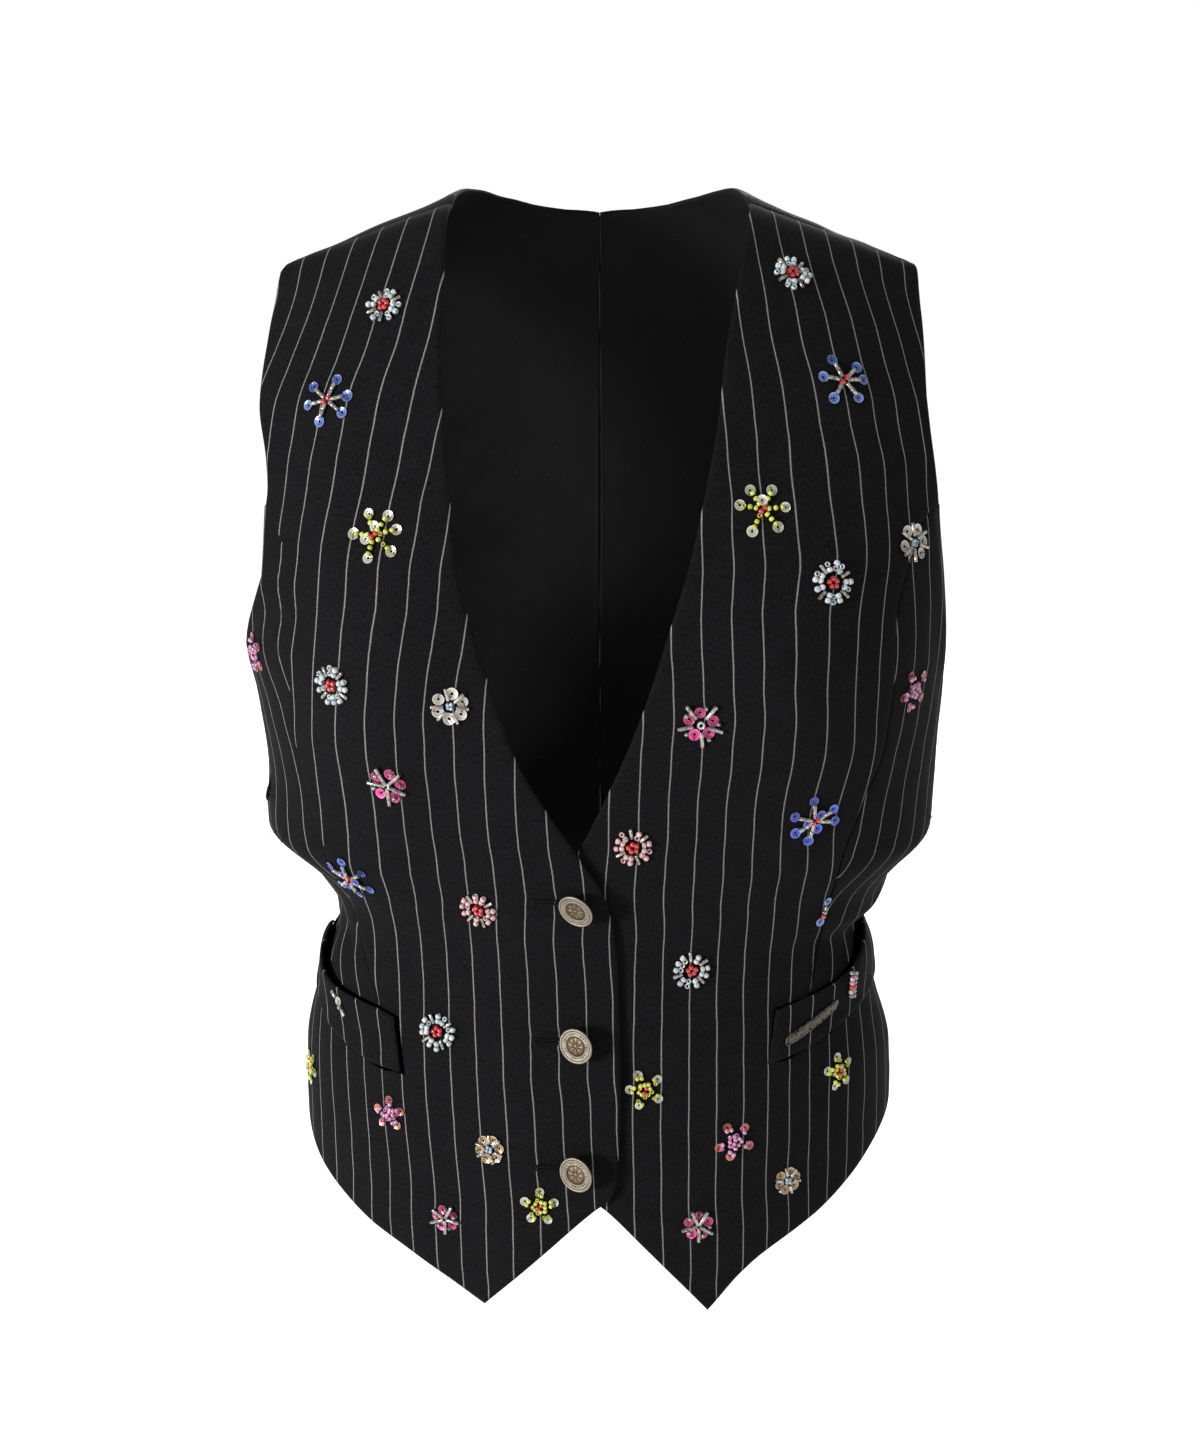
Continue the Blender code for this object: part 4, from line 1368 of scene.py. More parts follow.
# ---- pockets
@dataclass
class Pocket:
    """A slanted welt, and the near-black strips of painted shade in its mouth behind its top edge.
    """

    front: FrontPanel
    inner_x: float
    top: Curve
    foot: Curve
    # how far the painted shade of the mouth reaches above the welt's top edge, in mm
    mouth: Curve
    overrun: float
    wall: float = 1.5
    grain_shift: float = 0.12
    outer: list[tuple[Array, Array]] = field(default_factory=list, init=False)

    OUTER_TURN = 88.8
    GAPE, GAPE_AT, CLOSED_AT, GAPE_POWER = 2.2, 0.62, 0.94, 1.6
    INNER_LEAN = 3.0
    HEIGHT = 22.0

    def place(self, across: Any, up: Any) -> Place:
        """Place on the welt.

        Args:
            across: Shares of its length from the inner end.
            up: Shares of its height.

        Returns:
            Turns and levels.
        """
        level = lerp(self.foot(across), self.top(across), up)
        x = self.front.side.value * (self.inner_x - self.INNER_LEAN * (1 - up))
        first = self.front.form.turn_at(self.front.side, x, level)
        return lerp(first, math.radians(self.OUTER_TURN), across), level

    def lift(self, across: Any, up: Any) -> Array:
        """How far the welt's inner face stands off the front.

        Args:
            across: Shares of its length from the inner end.
            up: Shares of its height.

        Returns:
            Gaps in mm.
        """
        rest = (np.asarray(across) - self.GAPE_AT) / (self.CLOSED_AT - self.GAPE_AT)
        gape = self.GAPE * ease(np.asarray(across) / self.GAPE_AT) * (1 - ease(rest))
        return SEAT_GAP + gape * np.asarray(up) ** self.GAPE_POWER

    def point(self, across: Any, up: Any, extra: Any = 0.0) -> Array:
        """Points on the welt.

        Args:
            across: Shares of its length from the inner end.
            up: Shares of its height.
            extra: How far they stand off its inner face, in mm.

        Returns:
            Points in mm.
        """
        across, up = np.broadcast_arrays(np.asarray(across, float), np.asarray(up, float))
        lift = self.lift(across, up) + extra
        return self.front.surface(*self.place(across, up), lift=lift, fine=False)

    def build(self) -> Object:
        """Builds and dresses the welt.

        Returns:
            The new piece.
        """
        across, up = np.meshgrid(close_ends(70, 0.006), close_ends(14, 0.02))
        *ends, foot, top = margins(self.point(across, up))
        height = edge_height(top, roll=0.6, thick=0.0)
        height += edge_height(foot, roll=0.55, thick=0.15, wide=4.0)
        height += sum(edge_height(end, roll=0.55, thick=0.1, wide=3.0) for end in ends)
        turn, level = self.place(across, up)
        height += ripple(turn, level, self.front.seed + 40, 0.14)
        points = self.point(across, up, extra=self.wall + height)
        count = self.front.main_grain(turn, level) + self.grain_shift
        shape = Shape()
        self.outer.append(self.front.sheet(shape, points, count * self.front.PITCH, level))
        return self.front.finish(shape, "welt", WELT_SUITING, "welt_suiting", self.wall)

    def strip(self, shape: Shape, across: Array, low: Any, high: Any, lift: float = 0.2) -> None:
        """Adds a near-black strip of painted shade on the front, between two heights up the welt.

        Args:
            shape: Shape it goes to.
            across: Places along the welt.
            low: Its lower edge, as a share of the welt's height.
            high: Its upper edge.
            lift: How far its lower edge stands off the front, in mm.
        """
        t = np.linspace(0.0, 1.0, 8)[:, None]
        across, edge = np.broadcast_arrays(across, lerp(low, high, t) + 0 * across)
        turn, level = self.place(across, edge)
        points = self.front.surface(turn, level, lift=lift - (lift - 0.12) * t ** 6)
        self.front.sheet(shape, points, np.degrees(turn) * MM_A_DEGREE, level)

    def build_mouth(self) -> Object:
        """Builds the near-black sheet of painted shade in the mouth, and the painted shadow lines
        at the inner end and along the foot.

        Returns:
            The new piece.
        """
        shape, word = Shape(), self.front.side.word
        across = np.linspace(-self.overrun, 1.0, 60)
        # the mouth: painted shade inside the pocket's opening
        self.strip(shape, across, 0.45, 1.0 + self.mouth(across) / self.HEIGHT, 0.42)
        # the inner end: painted shadow of the gap where the welt's end stands off, which also
        # stands for the dark seam thread there
        if self.overrun:
            self.strip(shape, np.linspace(-self.overrun, 0.02, 5), -0.05, 1.0)
        # the foot: a painted shadow line along the welt's seam, which also stands for the dark seam
        # thread there
        across = np.linspace(-0.5 * self.overrun, 0.95, 50)
        taper = (1 - ease((across - 0.7) / 0.2)) * ease(across / 0.12 + 0.2)
        self.strip(shape, across, -(0.06 + 0.02 * np.sin(across * 23)) * taper, 0.1)
        piece = shape.make(f"pocket_mouth_{word}", [FINISHES[MOUTH_PAINTED_SHADE]])
        thicken(piece, 0.25)
        return piece


# ---- metal pieces
@dataclass
class Button:
    """A cast shank button: rope rim, ring of small pits and a petalled middle."""

    front: FrontPanel
    number: int
    level: float
    radius: float = 8.3
    shank: float = 2.3
    turn: float = 27.0
    nod: float = 6.0

    BACK = 2.7
    ANGLES = 168
    RIM_AT, RIM_HALF, RIM_BASE = 7.65, 0.62, 3.6
    PITS, PITS_AT, PIT_SIZE = 26, 5.7, 0.52
    MIDDLE, PLAIN_BELOW = 4.6, 3.3
    HOLE = (-28.5, -10.0)

    def face_height(self, radius: Array, angle: Array) -> Array:
        """Height of the decorated face.

        Args:
            radius: Distances from the button's middle, in mm.
            angle: Angles round it.

        Returns:
            Heights over the shank's centre, in mm.
        """
        dome = np.sqrt(np.clip(1 - ((radius - self.RIM_AT) / self.RIM_HALF) ** 2, 0.0, 1.0))
        rope = 1 + 0.1 * np.sin(46 * angle + 3.4 * (radius - self.RIM_AT))
        rim = self.RIM_BASE + 0.6 * dome * rope
        field_level = 3.62 + 0.36 * ease((radius - 4.7) / 0.4)
        pit_angle = (angle * self.PITS / (2 * math.pi)) % 1.0 - 0.5
        aside = pit_angle * 2 * math.pi * self.PITS_AT / self.PITS
        pit = np.hypot(aside, radius - self.PITS_AT) / self.PIT_SIZE
        pits = 0.34 * np.clip(1 - pit ** 2, 0.0, 1.0) * (0.6 + 0.4 * np.sin(angle * 7.0 + 1.0))
        reach = np.sin(np.pi * np.clip(radius / self.MIDDLE, 0, 1)) ** 0.8
        petal = np.abs(np.cos(4 * angle)) ** 0.7 * reach
        vein = 0.09 * np.exp(-((np.sin(4 * angle + np.pi / 2) / 0.12) ** 2))
        out = np.clip((radius - 1.0) / 3.9, 0, 1)
        small = np.abs(np.sin(4 * angle)) ** 0.9 * np.sin(np.pi * out)
        middle = 0.52 * np.maximum(petal - vein, 0.55 * small)
        ring = 0.22 * np.exp(-(((radius - 4.85) / 0.2) ** 2))
        heart = 0.6 * np.sqrt(np.clip(1 - (radius / 1.05) ** 2, 0.0, 1.0))
        face = field_level - pits + np.maximum(ring, np.maximum(middle, heart))
        return np.where(radius > self.RIM_AT - self.RIM_HALF, np.maximum(rim, self.RIM_BASE), face)

    def back(self) -> Array:
        """Outline of the back, from the shank's foot to the rim.

        Returns:
            Radii and heights, in mm.
        """
        foot = [(0.05, -self.shank)] + [(self.shank * math.sin(a), -self.shank * math.cos(a))
                                        for a in (0.35, 0.7, 1.05, 1.35)]
        return np.array(foot + [
            (self.shank, 2.0), (self.shank + 0.3, 2.45), (self.shank + 1.0, self.BACK),
            (self.radius - 1.2, self.BACK + 0.2), (self.radius - 0.3, self.BACK + 0.5),
            (self.radius, self.BACK + 0.85)])

    def build(self) -> Object:
        """Builds and dresses the button, with the thread that holds it.

        Returns:
            The new piece.
        """
        angles, back = circle(self.ANGLES), self.back()
        radii = np.concatenate([np.linspace(self.radius, 6.7, 15), np.linspace(6.6, 0.12, 42)])
        radius, angle = np.meshgrid(np.concatenate([back[:, 0], radii]), angles, indexing="ij")
        rear = np.broadcast_to(back[:, 1:], (len(back), self.ANGLES))
        height = np.concatenate([rear, self.face_height(radius[len(back):], angle[len(back):])])
        relief = np.where(height < self.PLAIN_BELOW, 0.7, np.clip((height - 3.5) / 0.75, 0.0, 1.0))
        faces = grid_faces(*radius.shape, closed=True)
        rows = faces[:, 0] // self.ANGLES
        inside = (radius[:, 0][rows] < self.MIDDLE) & (rows >= len(back))
        shape = Shape()
        shape.add(table(radius * np.cos(angle), radius * np.sin(angle), height), faces,
                  table(radius, relief), inside.astype(int))
        turns = np.linspace(0.0, 5 * 2 * math.pi, 90)
        coil = table(1.15 * np.cos(turns), 1.15 * np.sin(turns),
                     np.linspace(-self.shank - 1.1, -self.shank + 0.5, 90))
        shape.add(*tube(coil, 0.28, 6), 2)
        shape.points = [self.stand(points) for points in shape.points]
        finishes = [FINISHES[finish] for finish in (BUTTON_RIM, BUTTON_FACE, BLACK_THREAD)]
        piece = shape.make(f"dressed_button_{self.number}", finishes, sharp=55)
        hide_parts(f"button_{self.number}")
        return piece

    def stand(self, points: Array) -> Array:
        """Moves points of the button to its seat, leaning to its buttonhole.

        Args:
            points: Points round the shank's centre, in mm.

        Returns:
            The moved points.
        """
        form, side = self.front.form, self.front.side
        turn = form.turn_at(side, self.front.BUTTON_X, self.level)
        seat = self.front.surface(turn, self.level, lift=self.shank + SEAT_GAP, fine=False)
        face = Vector(form.normal(side, turn, self.level)).to_track_quat("Z", "Y").to_matrix()
        lean = (Matrix.Rotation(math.radians(-self.turn), 3, "Z")
                @ Matrix.Rotation(math.radians(self.nod), 3, "X"))
        return points @ np.array(lean @ face).T + seat

    def build_hole(self) -> Object:
        """Builds the overcast buttonhole that runs out from under the button, with its frays.

        Returns:
            The new piece.
        """
        draw = random.Random(60 + self.number)
        shape = Shape()
        start, end = self.HOLE

        def stitch(x: Array, level: Array, lift: Array, radius: float = 0.25,
                   sides: int = 5) -> None:
            """Lays one thread over the front through x and level."""
            turn = self.front.form.turn_at(self.front.side, x, level)
            shape.add(*tube(self.front.surface(turn, level, lift=lift), radius, sides))

        t = np.linspace(0.0, 1.0, 5)
        for row in (-1, 1):
            for x in np.arange(start, end, 0.42):
                reach = 1.25 + draw.uniform(-0.2, 0.3)
                level = self.level + row * (0.12 + reach * t)
                stitch(x + draw.uniform(-0.25, 0.25) * t, level, 0.25 + 0.32 * np.sin(np.pi * t))
        for k in range(9):
            angle = math.pi / 2 + math.pi * (k + 0.5) / 9
            reach = t * (1.5 + draw.uniform(-0.1, 0.2))
            stitch(start + reach * math.cos(angle), self.level + reach * math.sin(angle),
                   0.25 + 0.3 * np.sin(np.pi * t))
        t = np.linspace(0.0, 1.0, 9)
        for _ in range(16):
            x, heading = draw.uniform(start - 0.5, start + 12), draw.uniform(-1.2, 1.2)
            way = draw.choice((-1, 1))
            long, bend = draw.uniform(1.5, 3.6), draw.uniform(-1.4, 1.4)
            stitch(x + long * t * math.sin(heading + bend) * t,
                   self.level + way * (1.1 + long * t * math.cos(heading)),
                   0.4 + draw.uniform(0.2, 1.3) * t, 0.085, 4)
        piece = shape.make(f"buttonhole_{self.number}", [FINISHES[BLACK_THREAD]])
        return piece


@dataclass
class MetalBar:
    """A bare metal bar with round ends, sewn flat on the left welt."""

    pocket: Pocket
    span: tuple[float, float] = (0.055, 0.335)
    rise: tuple[float, float] = (0.335, 0.57)
    half: float = 0.112
    wall: float = 1.0
    seat: float = 0.35

    ROUND_FROM = 0.87
    HALF_WIDTH = 2.15

    def build(self) -> Object:
        """Builds and dresses the bar: soft edges, an engraved border and worn faces.

        Returns:
            The new piece.
        """
        along = 0.5 - 0.5 * np.cos(np.linspace(0, math.pi / 2, 24))
        along = np.unique(np.concatenate([along, 1 - along]))
        s, v = np.meshgrid(along, np.sin(np.linspace(-math.pi / 2, math.pi / 2, 21)))
        past = np.clip((np.abs(2 * s - 1) - self.ROUND_FROM) / (1 - self.ROUND_FROM), 0.0, 1.0)
        round_off = np.sqrt(np.clip(1 - past ** 2, 0.02, 1.0))
        across, up = lerp(*self.span, s), lerp(*self.rise, s) + self.half * v * round_off
        off = self.pocket.wall + self.seat
        inner = self.pocket.point(across, up, extra=off)
        outer = self.pocket.point(across, up, extra=off + self.wall)
        ends = self.pocket.point(lerp(*self.span, np.array([0.0, 1.0])), np.array(self.rise))
        length = float(np.linalg.norm(ends[1] - ends[0]))
        rim = np.minimum(np.minimum(s, 1 - s) * length,
                         (1 - np.abs(v)) * self.HALF_WIDTH * round_off)
        bevel = -0.38 * np.exp(-((rim / 0.3) ** 2))
        groove = -0.17 * np.exp(-(((rim - 0.85) / 0.14) ** 2))
        outer = (outer + unit(outer - inner) * (bevel + groove)[..., None]).reshape(-1, 3)
        inner = inner.reshape(-1, 3)
        lay = table(s, np.clip(1.0 + (groove + 0.3 * bevel) * 4.5, 0.0, 1.0))
        flip = self.pocket.front.flip
        faces = flip(grid_faces(*s.shape))
        shape = Shape()
        shape.add(outer, faces, lay)
        shape.add(inner, faces[:, ::-1], lay)
        grid = np.arange(s.size).reshape(s.shape)
        ring = np.concatenate([grid[0], grid[1:, -1], grid[-1, -2::-1], grid[-2:0:-1, 0]])
        count = len(ring)
        k, after = np.arange(count), (np.arange(count) + 1) % count
        sides = np.stack([k, k + count, after + count, after], -1)
        shape.add(np.concatenate([outer[ring], inner[ring]]), flip(sides),
                  np.concatenate([lay[ring], lay[ring]]))
        piece = shape.make("dressed_bar", [FINISHES[BAR_METAL]], sharp=60, weld=True)
        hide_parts("label_plate")
        return piece


# ---- beadwork
@dataclass(frozen=True)
class Eye:
    """The camera: its place in mm, its nod and its reach in picture points."""

    place: tuple[float, float, float] = (0.0, -758.0, -43.0)
    nod: float = 13.5
    reach: float = 1604.0
    frame: tuple[int, int] = (1200, 1439)

    SENSOR = 36.0

    def ray(self, seen: tuple[float, float]) -> tuple[Vector, Vector]:
        """Line of sight through a picture point.

        Args:
            seen: The point, from the frame's top left corner.

        Returns:
            Start and direction.
        """
        a, b = ((at - size / 2) / self.reach for at, size in zip(seen, self.frame))
        c, s = math.cos(math.radians(self.nod)), math.sin(math.radians(self.nod))
        return Vector(self.place), Vector((a, c - b * s, -s - b * c)).normalized()

    def make_camera(self) -> None:
        """Makes the scene's camera."""
        data = bpy.data.cameras.new("eye")
        data.sensor_fit, data.sensor_height = "VERTICAL", self.SENSOR
        data.lens = self.SENSOR * self.reach / self.frame[1]
        data.clip_start, data.clip_end = 0.01, 50.0
        camera = bpy.data.objects.new("eye", data)
        camera.location = [v * MM for v in self.place]
        camera.rotation_euler = (math.radians(90 - self.nod), 0.0, 0.0)
        bpy.context.scene.collection.objects.link(camera)
        bpy.context.scene.camera = camera


class Carrier:
    """The outer faces that beads are sewn to."""

    def __init__(self, sheets: Sequence[ClothPanel | Pocket]) -> None:
        """Builds the search tree.

        Args:
            sheets: Panels and pockets that have been built.
        """
        points, faces, count = [], [], 0
        for lot, quads in (pair for sheet in sheets for pair in sheet.outer):
            points.append(lot)
            faces += (quads + count).tolist()
            count += len(lot)
        self.tree = BVHTree.FromPolygons(np.concatenate(points).tolist(), faces)

    def seen(self, eye: Eye, at: tuple[float, float]) -> Place:
        """Meets the cloth along a line of sight.

        Args:
            eye: The camera.
            at: Picture point.

        Returns:
            Place and normal there.
        """
        start, sight = eye.ray(at)
        place, normal, _, _ = self.tree.ray_cast(start, sight)
        if place is None:
            return self.nearest(start - sight * (start.y / sight.y))
        return np.array(place), np.array(normal)

    def nearest(self, point: Any) -> Place:
        """Place and normal on the cloth nearest a point."""
        place, normal, _, _ = self.tree.find_nearest(Vector(point))
        return np.array(place), np.array(normal)


class BeadKit:
    """The few small parts that every flower is sewn from, with z standing off the cloth."""

    @staticmethod
    def seed(radius: float, hole: float) -> Part:
        """A seed bead that lies on its side, threaded along x.

        Args:
            radius: Outer radius in mm.
            hole: Radius of its hole.

        Returns:
            Points, faces and lay.
        """
        ring, loop = 14, 9
        middle, thick = (radius + hole) / 2, (radius - hole) / 2
        a, b = np.meshgrid(circle(ring), circle(loop), indexing="ij")
        reach = middle + thick * np.cos(b)
        points = table(thick * 2.1 * np.sin(b), reach * np.cos(a), reach * np.sin(a) + radius)
        return points, grid_faces(ring + 1, loop, closed=True)[:, ::-1] % (ring * loop), table(a, b)

    @staticmethod
    def bugle(length: float, radius: float) -> Part:
        """A cut glass tube with open ends that lies along x from the middle outwards.

        Args:
            length: Length in mm.
            radius: Outer radius in mm.

        Returns:
            Points, faces and lay.
        """
        profile = np.array([(0, 0.45), (0, 0.86), (0.05, 1.0), (0.95, 1.0), (1.0, 0.86),
                            (1.0, 0.45), (0.9, 0.42), (0.1, 0.42)])
        sides = 9
        x, angle = np.meshgrid(profile[:, 0] * length, circle(sides), indexing="ij")
        ring = (profile[:, 1] * radius)[:, None]
        points = table(x, ring * np.cos(angle), ring * np.sin(angle) + radius)
        faces = grid_faces(len(profile) + 1, sides, closed=True) % x.size
        return points, faces[:, ::-1], table(x / length, angle)

    @classmethod
    def ring_bead(cls, radius: float) -> Part:
        """A larger bead that lies flat, its hole up."""
        points, faces, lay = cls.seed(radius, radius * 0.42)
        return points[:, ::-1] + [-radius, 0.0, radius * 0.6], faces[:, ::-1], lay

    @staticmethod
    def sequin(radius: float) -> Part:
        """A cupped, fluted sequin with a hole, its rim up.

        Args:
            radius: Outer radius in mm.

        Returns:
            Points, faces and lay.
        """
        steps, sides, cup, film = np.array([0.25, 0.34, 0.46, 0.64, 0.84, 1.0]), 18, 0.42, 0.11
        r, angle = np.meshgrid(np.concatenate([steps, steps[::-1]]), circle(sides), indexing="ij")
        z = cup * np.clip((r - 0.42) / 0.58, 0, 1) ** 0.9 + 0.035 * np.cos(9 * angle) * r + 0.12
        z[len(steps):] -= film
        faces = grid_faces(len(r) + 1, sides, closed=True) % r.size
        points = table(r * radius * np.cos(angle), r * radius * np.sin(angle), z)
        return points, faces, table(r, angle)


class Notion(Enum):
    """Beads, bugles and sequins by colour."""

    RED = Glass("red_beads", (0.50, 0.006, 0.010), (0.72, 0.03, 0.02))
    ICE = Glass("ice_beads", (0.42, 0.52, 0.57), (0.86, 0.90, 0.90))
    PINK = Glass("pink_beads", (0.58, 0.24, 0.26), (0.90, 0.66, 0.64))
    LEMON = Glass("lemon_beads", (0.52, 0.54, 0.015), (0.88, 0.88, 0.16))
    SKY = Glass("sky_beads", (0.20, 0.33, 0.48), (0.55, 0.68, 0.78))
    WHITE = Glass("white_beads", (0.62, 0.62, 0.60), (0.92, 0.92, 0.90))
    LILAC = Glass("lilac_beads", (0.50, 0.12, 0.32), (0.84, 0.42, 0.64))
    SILVER = Glass("silver_bugles", (0.12, 0.108, 0.09), (0.58, 0.54, 0.47), 0.16, metallic=0.55)
    CLEAR = Glass("clear_beads", (0.09, 0.085, 0.08), (0.50, 0.49, 0.46), 0.1, metallic=0.4)
    BLUE_FOIL = Foil("blue_sequins", (0.055, 0.10, 0.42), (0.26, 0.38, 0.72))
    DEEP_FOIL = Foil("deep_blue_sequins", (0.02, 0.04, 0.36), (0.10, 0.17, 0.66))
    PALE_FOIL = Foil("pale_sequins", (0.52, 0.52, 0.38), (0.80, 0.80, 0.70))
    CREAM_FOIL = Foil("cream_sequins", (0.46, 0.42, 0.36), (0.76, 0.72, 0.66))
    GOLD_FOIL = Foil("gold_sequins", (0.36, 0.20, 0.08), (0.74, 0.58, 0.36))
    MAGENTA_FOIL = Foil("magenta_sequins", (0.50, 0.012, 0.15), (0.86, 0.12, 0.40))
    CORAL_FOIL = Foil("coral_sequins", (0.46, 0.10, 0.075), (0.74, 0.32, 0.22))


@dataclass(frozen=True)
class Palette:
    """Finishes of one flower: beads of its arms, its sequins or bugles, and its middle."""

    beads: Notion
    shiny: Notion
    middle: Notion
    tips: Notion


class Scheme(Enum):
    """The colourings that come back over the two fronts."""

    ICE = Palette(Notion.ICE, Notion.SILVER, Notion.RED, Notion.ICE)
    PINK = Palette(Notion.PINK, Notion.SILVER, Notion.RED, Notion.PINK)
    BLUE = Palette(Notion.SILVER, Notion.BLUE_FOIL, Notion.RED, Notion.CLEAR)
    DEEP = Palette(Notion.SILVER, Notion.DEEP_FOIL, Notion.RED, Notion.CLEAR)
    YELLOW = Palette(Notion.LEMON, Notion.PALE_FOIL, Notion.RED, Notion.LEMON)
    LEMON = Palette(Notion.SILVER, Notion.PALE_FOIL, Notion.LEMON, Notion.LEMON)
    LILAC = Palette(Notion.LILAC, Notion.CORAL_FOIL, Notion.LILAC, Notion.LILAC)
    CREAM = Palette(Notion.SILVER, Notion.CREAM_FOIL, Notion.SKY, Notion.CLEAR)
    MAGENTA = Palette(Notion.SILVER, Notion.MAGENTA_FOIL, Notion.WHITE, Notion.CLEAR)
    ROSE = Palette(Notion.CLEAR, Notion.CREAM_FOIL, Notion.LILAC, Notion.PINK)
    GOLD = Palette(Notion.SILVER, Notion.GOLD_FOIL, Notion.SKY, Notion.CLEAR)


@dataclass
class Flower:
    """One sewn flower, its middle placed on the cloth along a line of sight."""

    seen: tuple[float, float]
    motif: Motif
    scheme: Scheme
    across: float = 17.0
    arms: tuple[float, ...] = ()
    spin: float = 0.0
    inner: int = 0
    row: tuple[Notion, ...] = ()
    draw: random.Random = field(init=False)
    shape: Shape = field(default_factory=Shape, init=False)
    finishes: list[Any] = field(default_factory=list, init=False)

    LARGE = 10.5
    SEQUIN, BUGLE, BEAD = 4.4, 3.9, 2.2

    @property
    def reach(self) -> float:
        """Half the flower's width."""
        return self.across / 2

    def sew(self, part: Part, finish: Any, radius: float, angle: float, spin: float | None = None,
            lift: float = 0.0, tip: float = 0.0) -> None:
        """Sews one bead, bugle or sequin.

        Args:
            finish: Its finish.
            radius: Distance from the flower's middle, in mm.
            angle: Heading from the middle, in radians.
            spin: Turn of the part itself; along its heading if none.
            lift: How far it stands off the cloth.
            tip: Tilt that raises its outer end, in radians.
        """
        points, faces, lay = part
        place, normal = self.carrier.nearest(self.target(radius, angle))
        if tip:
            c, s = math.cos(tip), math.sin(tip)
            x, y, z = points.T
            points = table(x * c - z * s, y, x * s + z * c)
        if finish not in self.finishes:
            self.finishes.append(finish)
        turn = angle if spin is None else spin
        self.shape.add(turned(points + [0.0, 0.0, lift], normal, place, turn), faces, lay,
                       self.finishes.index(finish))

    def target(self, radius: float, angle: float) -> Array:
        """Point at a distance and heading from the flower's middle."""
        away = np.array([[math.cos(angle) * radius, math.sin(angle) * radius, 0.0]])
        return turned(away, self.normal, self.middle)[0]

    def build(self, number: int, carrier: Carrier, eye: Eye) -> Object:
        """Builds and dresses the flower, square to the cloth round its middle.

        Args:
            number: Its number, which also starts its run of chance.
            carrier: Cloth that it is sewn to.
            eye: Line of sight that it is placed along.

        Returns:
            The new piece.
        """
        self.draw, self.carrier = random.Random(1000 + number), carrier
        self.middle, self.normal = carrier.seen(eye, self.seen)
        around = [carrier.nearest(self.target(5, angle))[1] for angle in (0.0, 1.57, 3.14, 4.71)]
        self.normal = unit(self.normal + sum(around))
        getattr(self, self.motif.value)()
        finishes = [FINISHES[getattr(finish, "value", finish)] for finish in self.finishes]
        return self.shape.make(f"flower_{number:02d}", finishes, sharp=50)

    def jitter(self, size: float) -> float:
        """A small uneven amount."""
        return self.draw.uniform(-size, size)

    def bead(self, finish: Notion, size: float, radius: float, angle: float,
             spin: float | None = None, lift: float = 0.0) -> None:
        """Sews one round bead.

        Args:
            finish: Its finish.
            size: Its radius in mm.
            radius: Distance from the flower's middle, in mm.
            angle: Heading from the middle, in radians.
            spin: Turn of its thread; about along its heading if none.
            lift: How far it stands off the cloth.
        """
        size *= 1 + self.jitter(0.05)
        turn = angle + self.jitter(0.3) if spin is None else spin
        flat = spin is None and self.draw.random() < 0.25
        part = BeadKit.ring_bead(size * 0.95) if flat else BeadKit.seed(size, size * 0.3)
        self.sew(part, finish, radius + self.jitter(0.12), angle, spin=turn, lift=lift)

    def heart(self, count: int, size: float) -> None:
        """Sews the cluster of beads in the middle.

        Args:
            count: Number of beads.
            size: Their radius in mm.
        """
        spread = size * 0.84 / math.sin(math.pi / max(count, 3))
        for k in range(count):
            angle = 2 * math.pi * (k + 0.25) / count + self.spin + self.jitter(0.16)
            self.bead(self.scheme.value.middle, size, spread + self.jitter(0.2), angle,
                      spin=self.spin + self.jitter(0.5), lift=0.15)

    def disc(self, size: float, radius: float, angle: float, lift: float, tip: float = 0.0,
             finish: Notion | None = None) -> None:
        """Sews one sequin, held by a black thread from its hole over its rim.

        Args:
            size: Its radius in mm.
            radius: Distance from the flower's middle, in mm.
            angle: Heading from the middle, in radians.
            lift: How far it stands off the cloth.
            tip: Tilt that raises its outer end, in radians.
            finish: Its finish; the scheme's if none.
        """
        size *= 1 + self.jitter(0.05)
        self.sew(BeadKit.sequin(size), finish or self.scheme.value.shiny, radius, angle,
                 spin=self.jitter(3.0), lift=lift, tip=tip)
        t = np.linspace(0.0, 1.0, 6)
        height = 0.3 + 0.28 * np.sin(np.pi * (0.25 + 0.75 * t)) + 0.2 * t
        over = table(size * (0.05 + 1.05 * t), 0 * t, height)
        self.sew(tube(over, 0.13, 5), BLACK_THREAD, radius, angle, spin=self.jitter(3.0), lift=lift)

    def ring(self) -> None:
        """Stitches of two beads in line, with bugles among them, round a red middle."""
        palette, reach = self.scheme.value, self.across * 0.475
        self.heart(5, 1.22)
        stitches = max(9, round(2 * math.pi * (reach - 2.9) / 2.75))
        bugles = {round(k * stitches / 4 + self.draw.uniform(0, 1.5)) % stitches for k in range(4)}
        for k in range(stitches):
            angle = 2 * math.pi * k / stitches + self.spin + self.jitter(0.06)
            end = reach + self.jitter(0.35)
            if k in bugles:
                self.sew(BeadKit.bugle(4.4, 0.82), palette.shiny, end - 4.6, angle, lift=0.1,
                         tip=self.jitter(0.06))
            else:
                self.bead(palette.beads, 1.33, end - 3.65, angle)
                self.bead(palette.tips, 1.33, end - 1.35, angle)

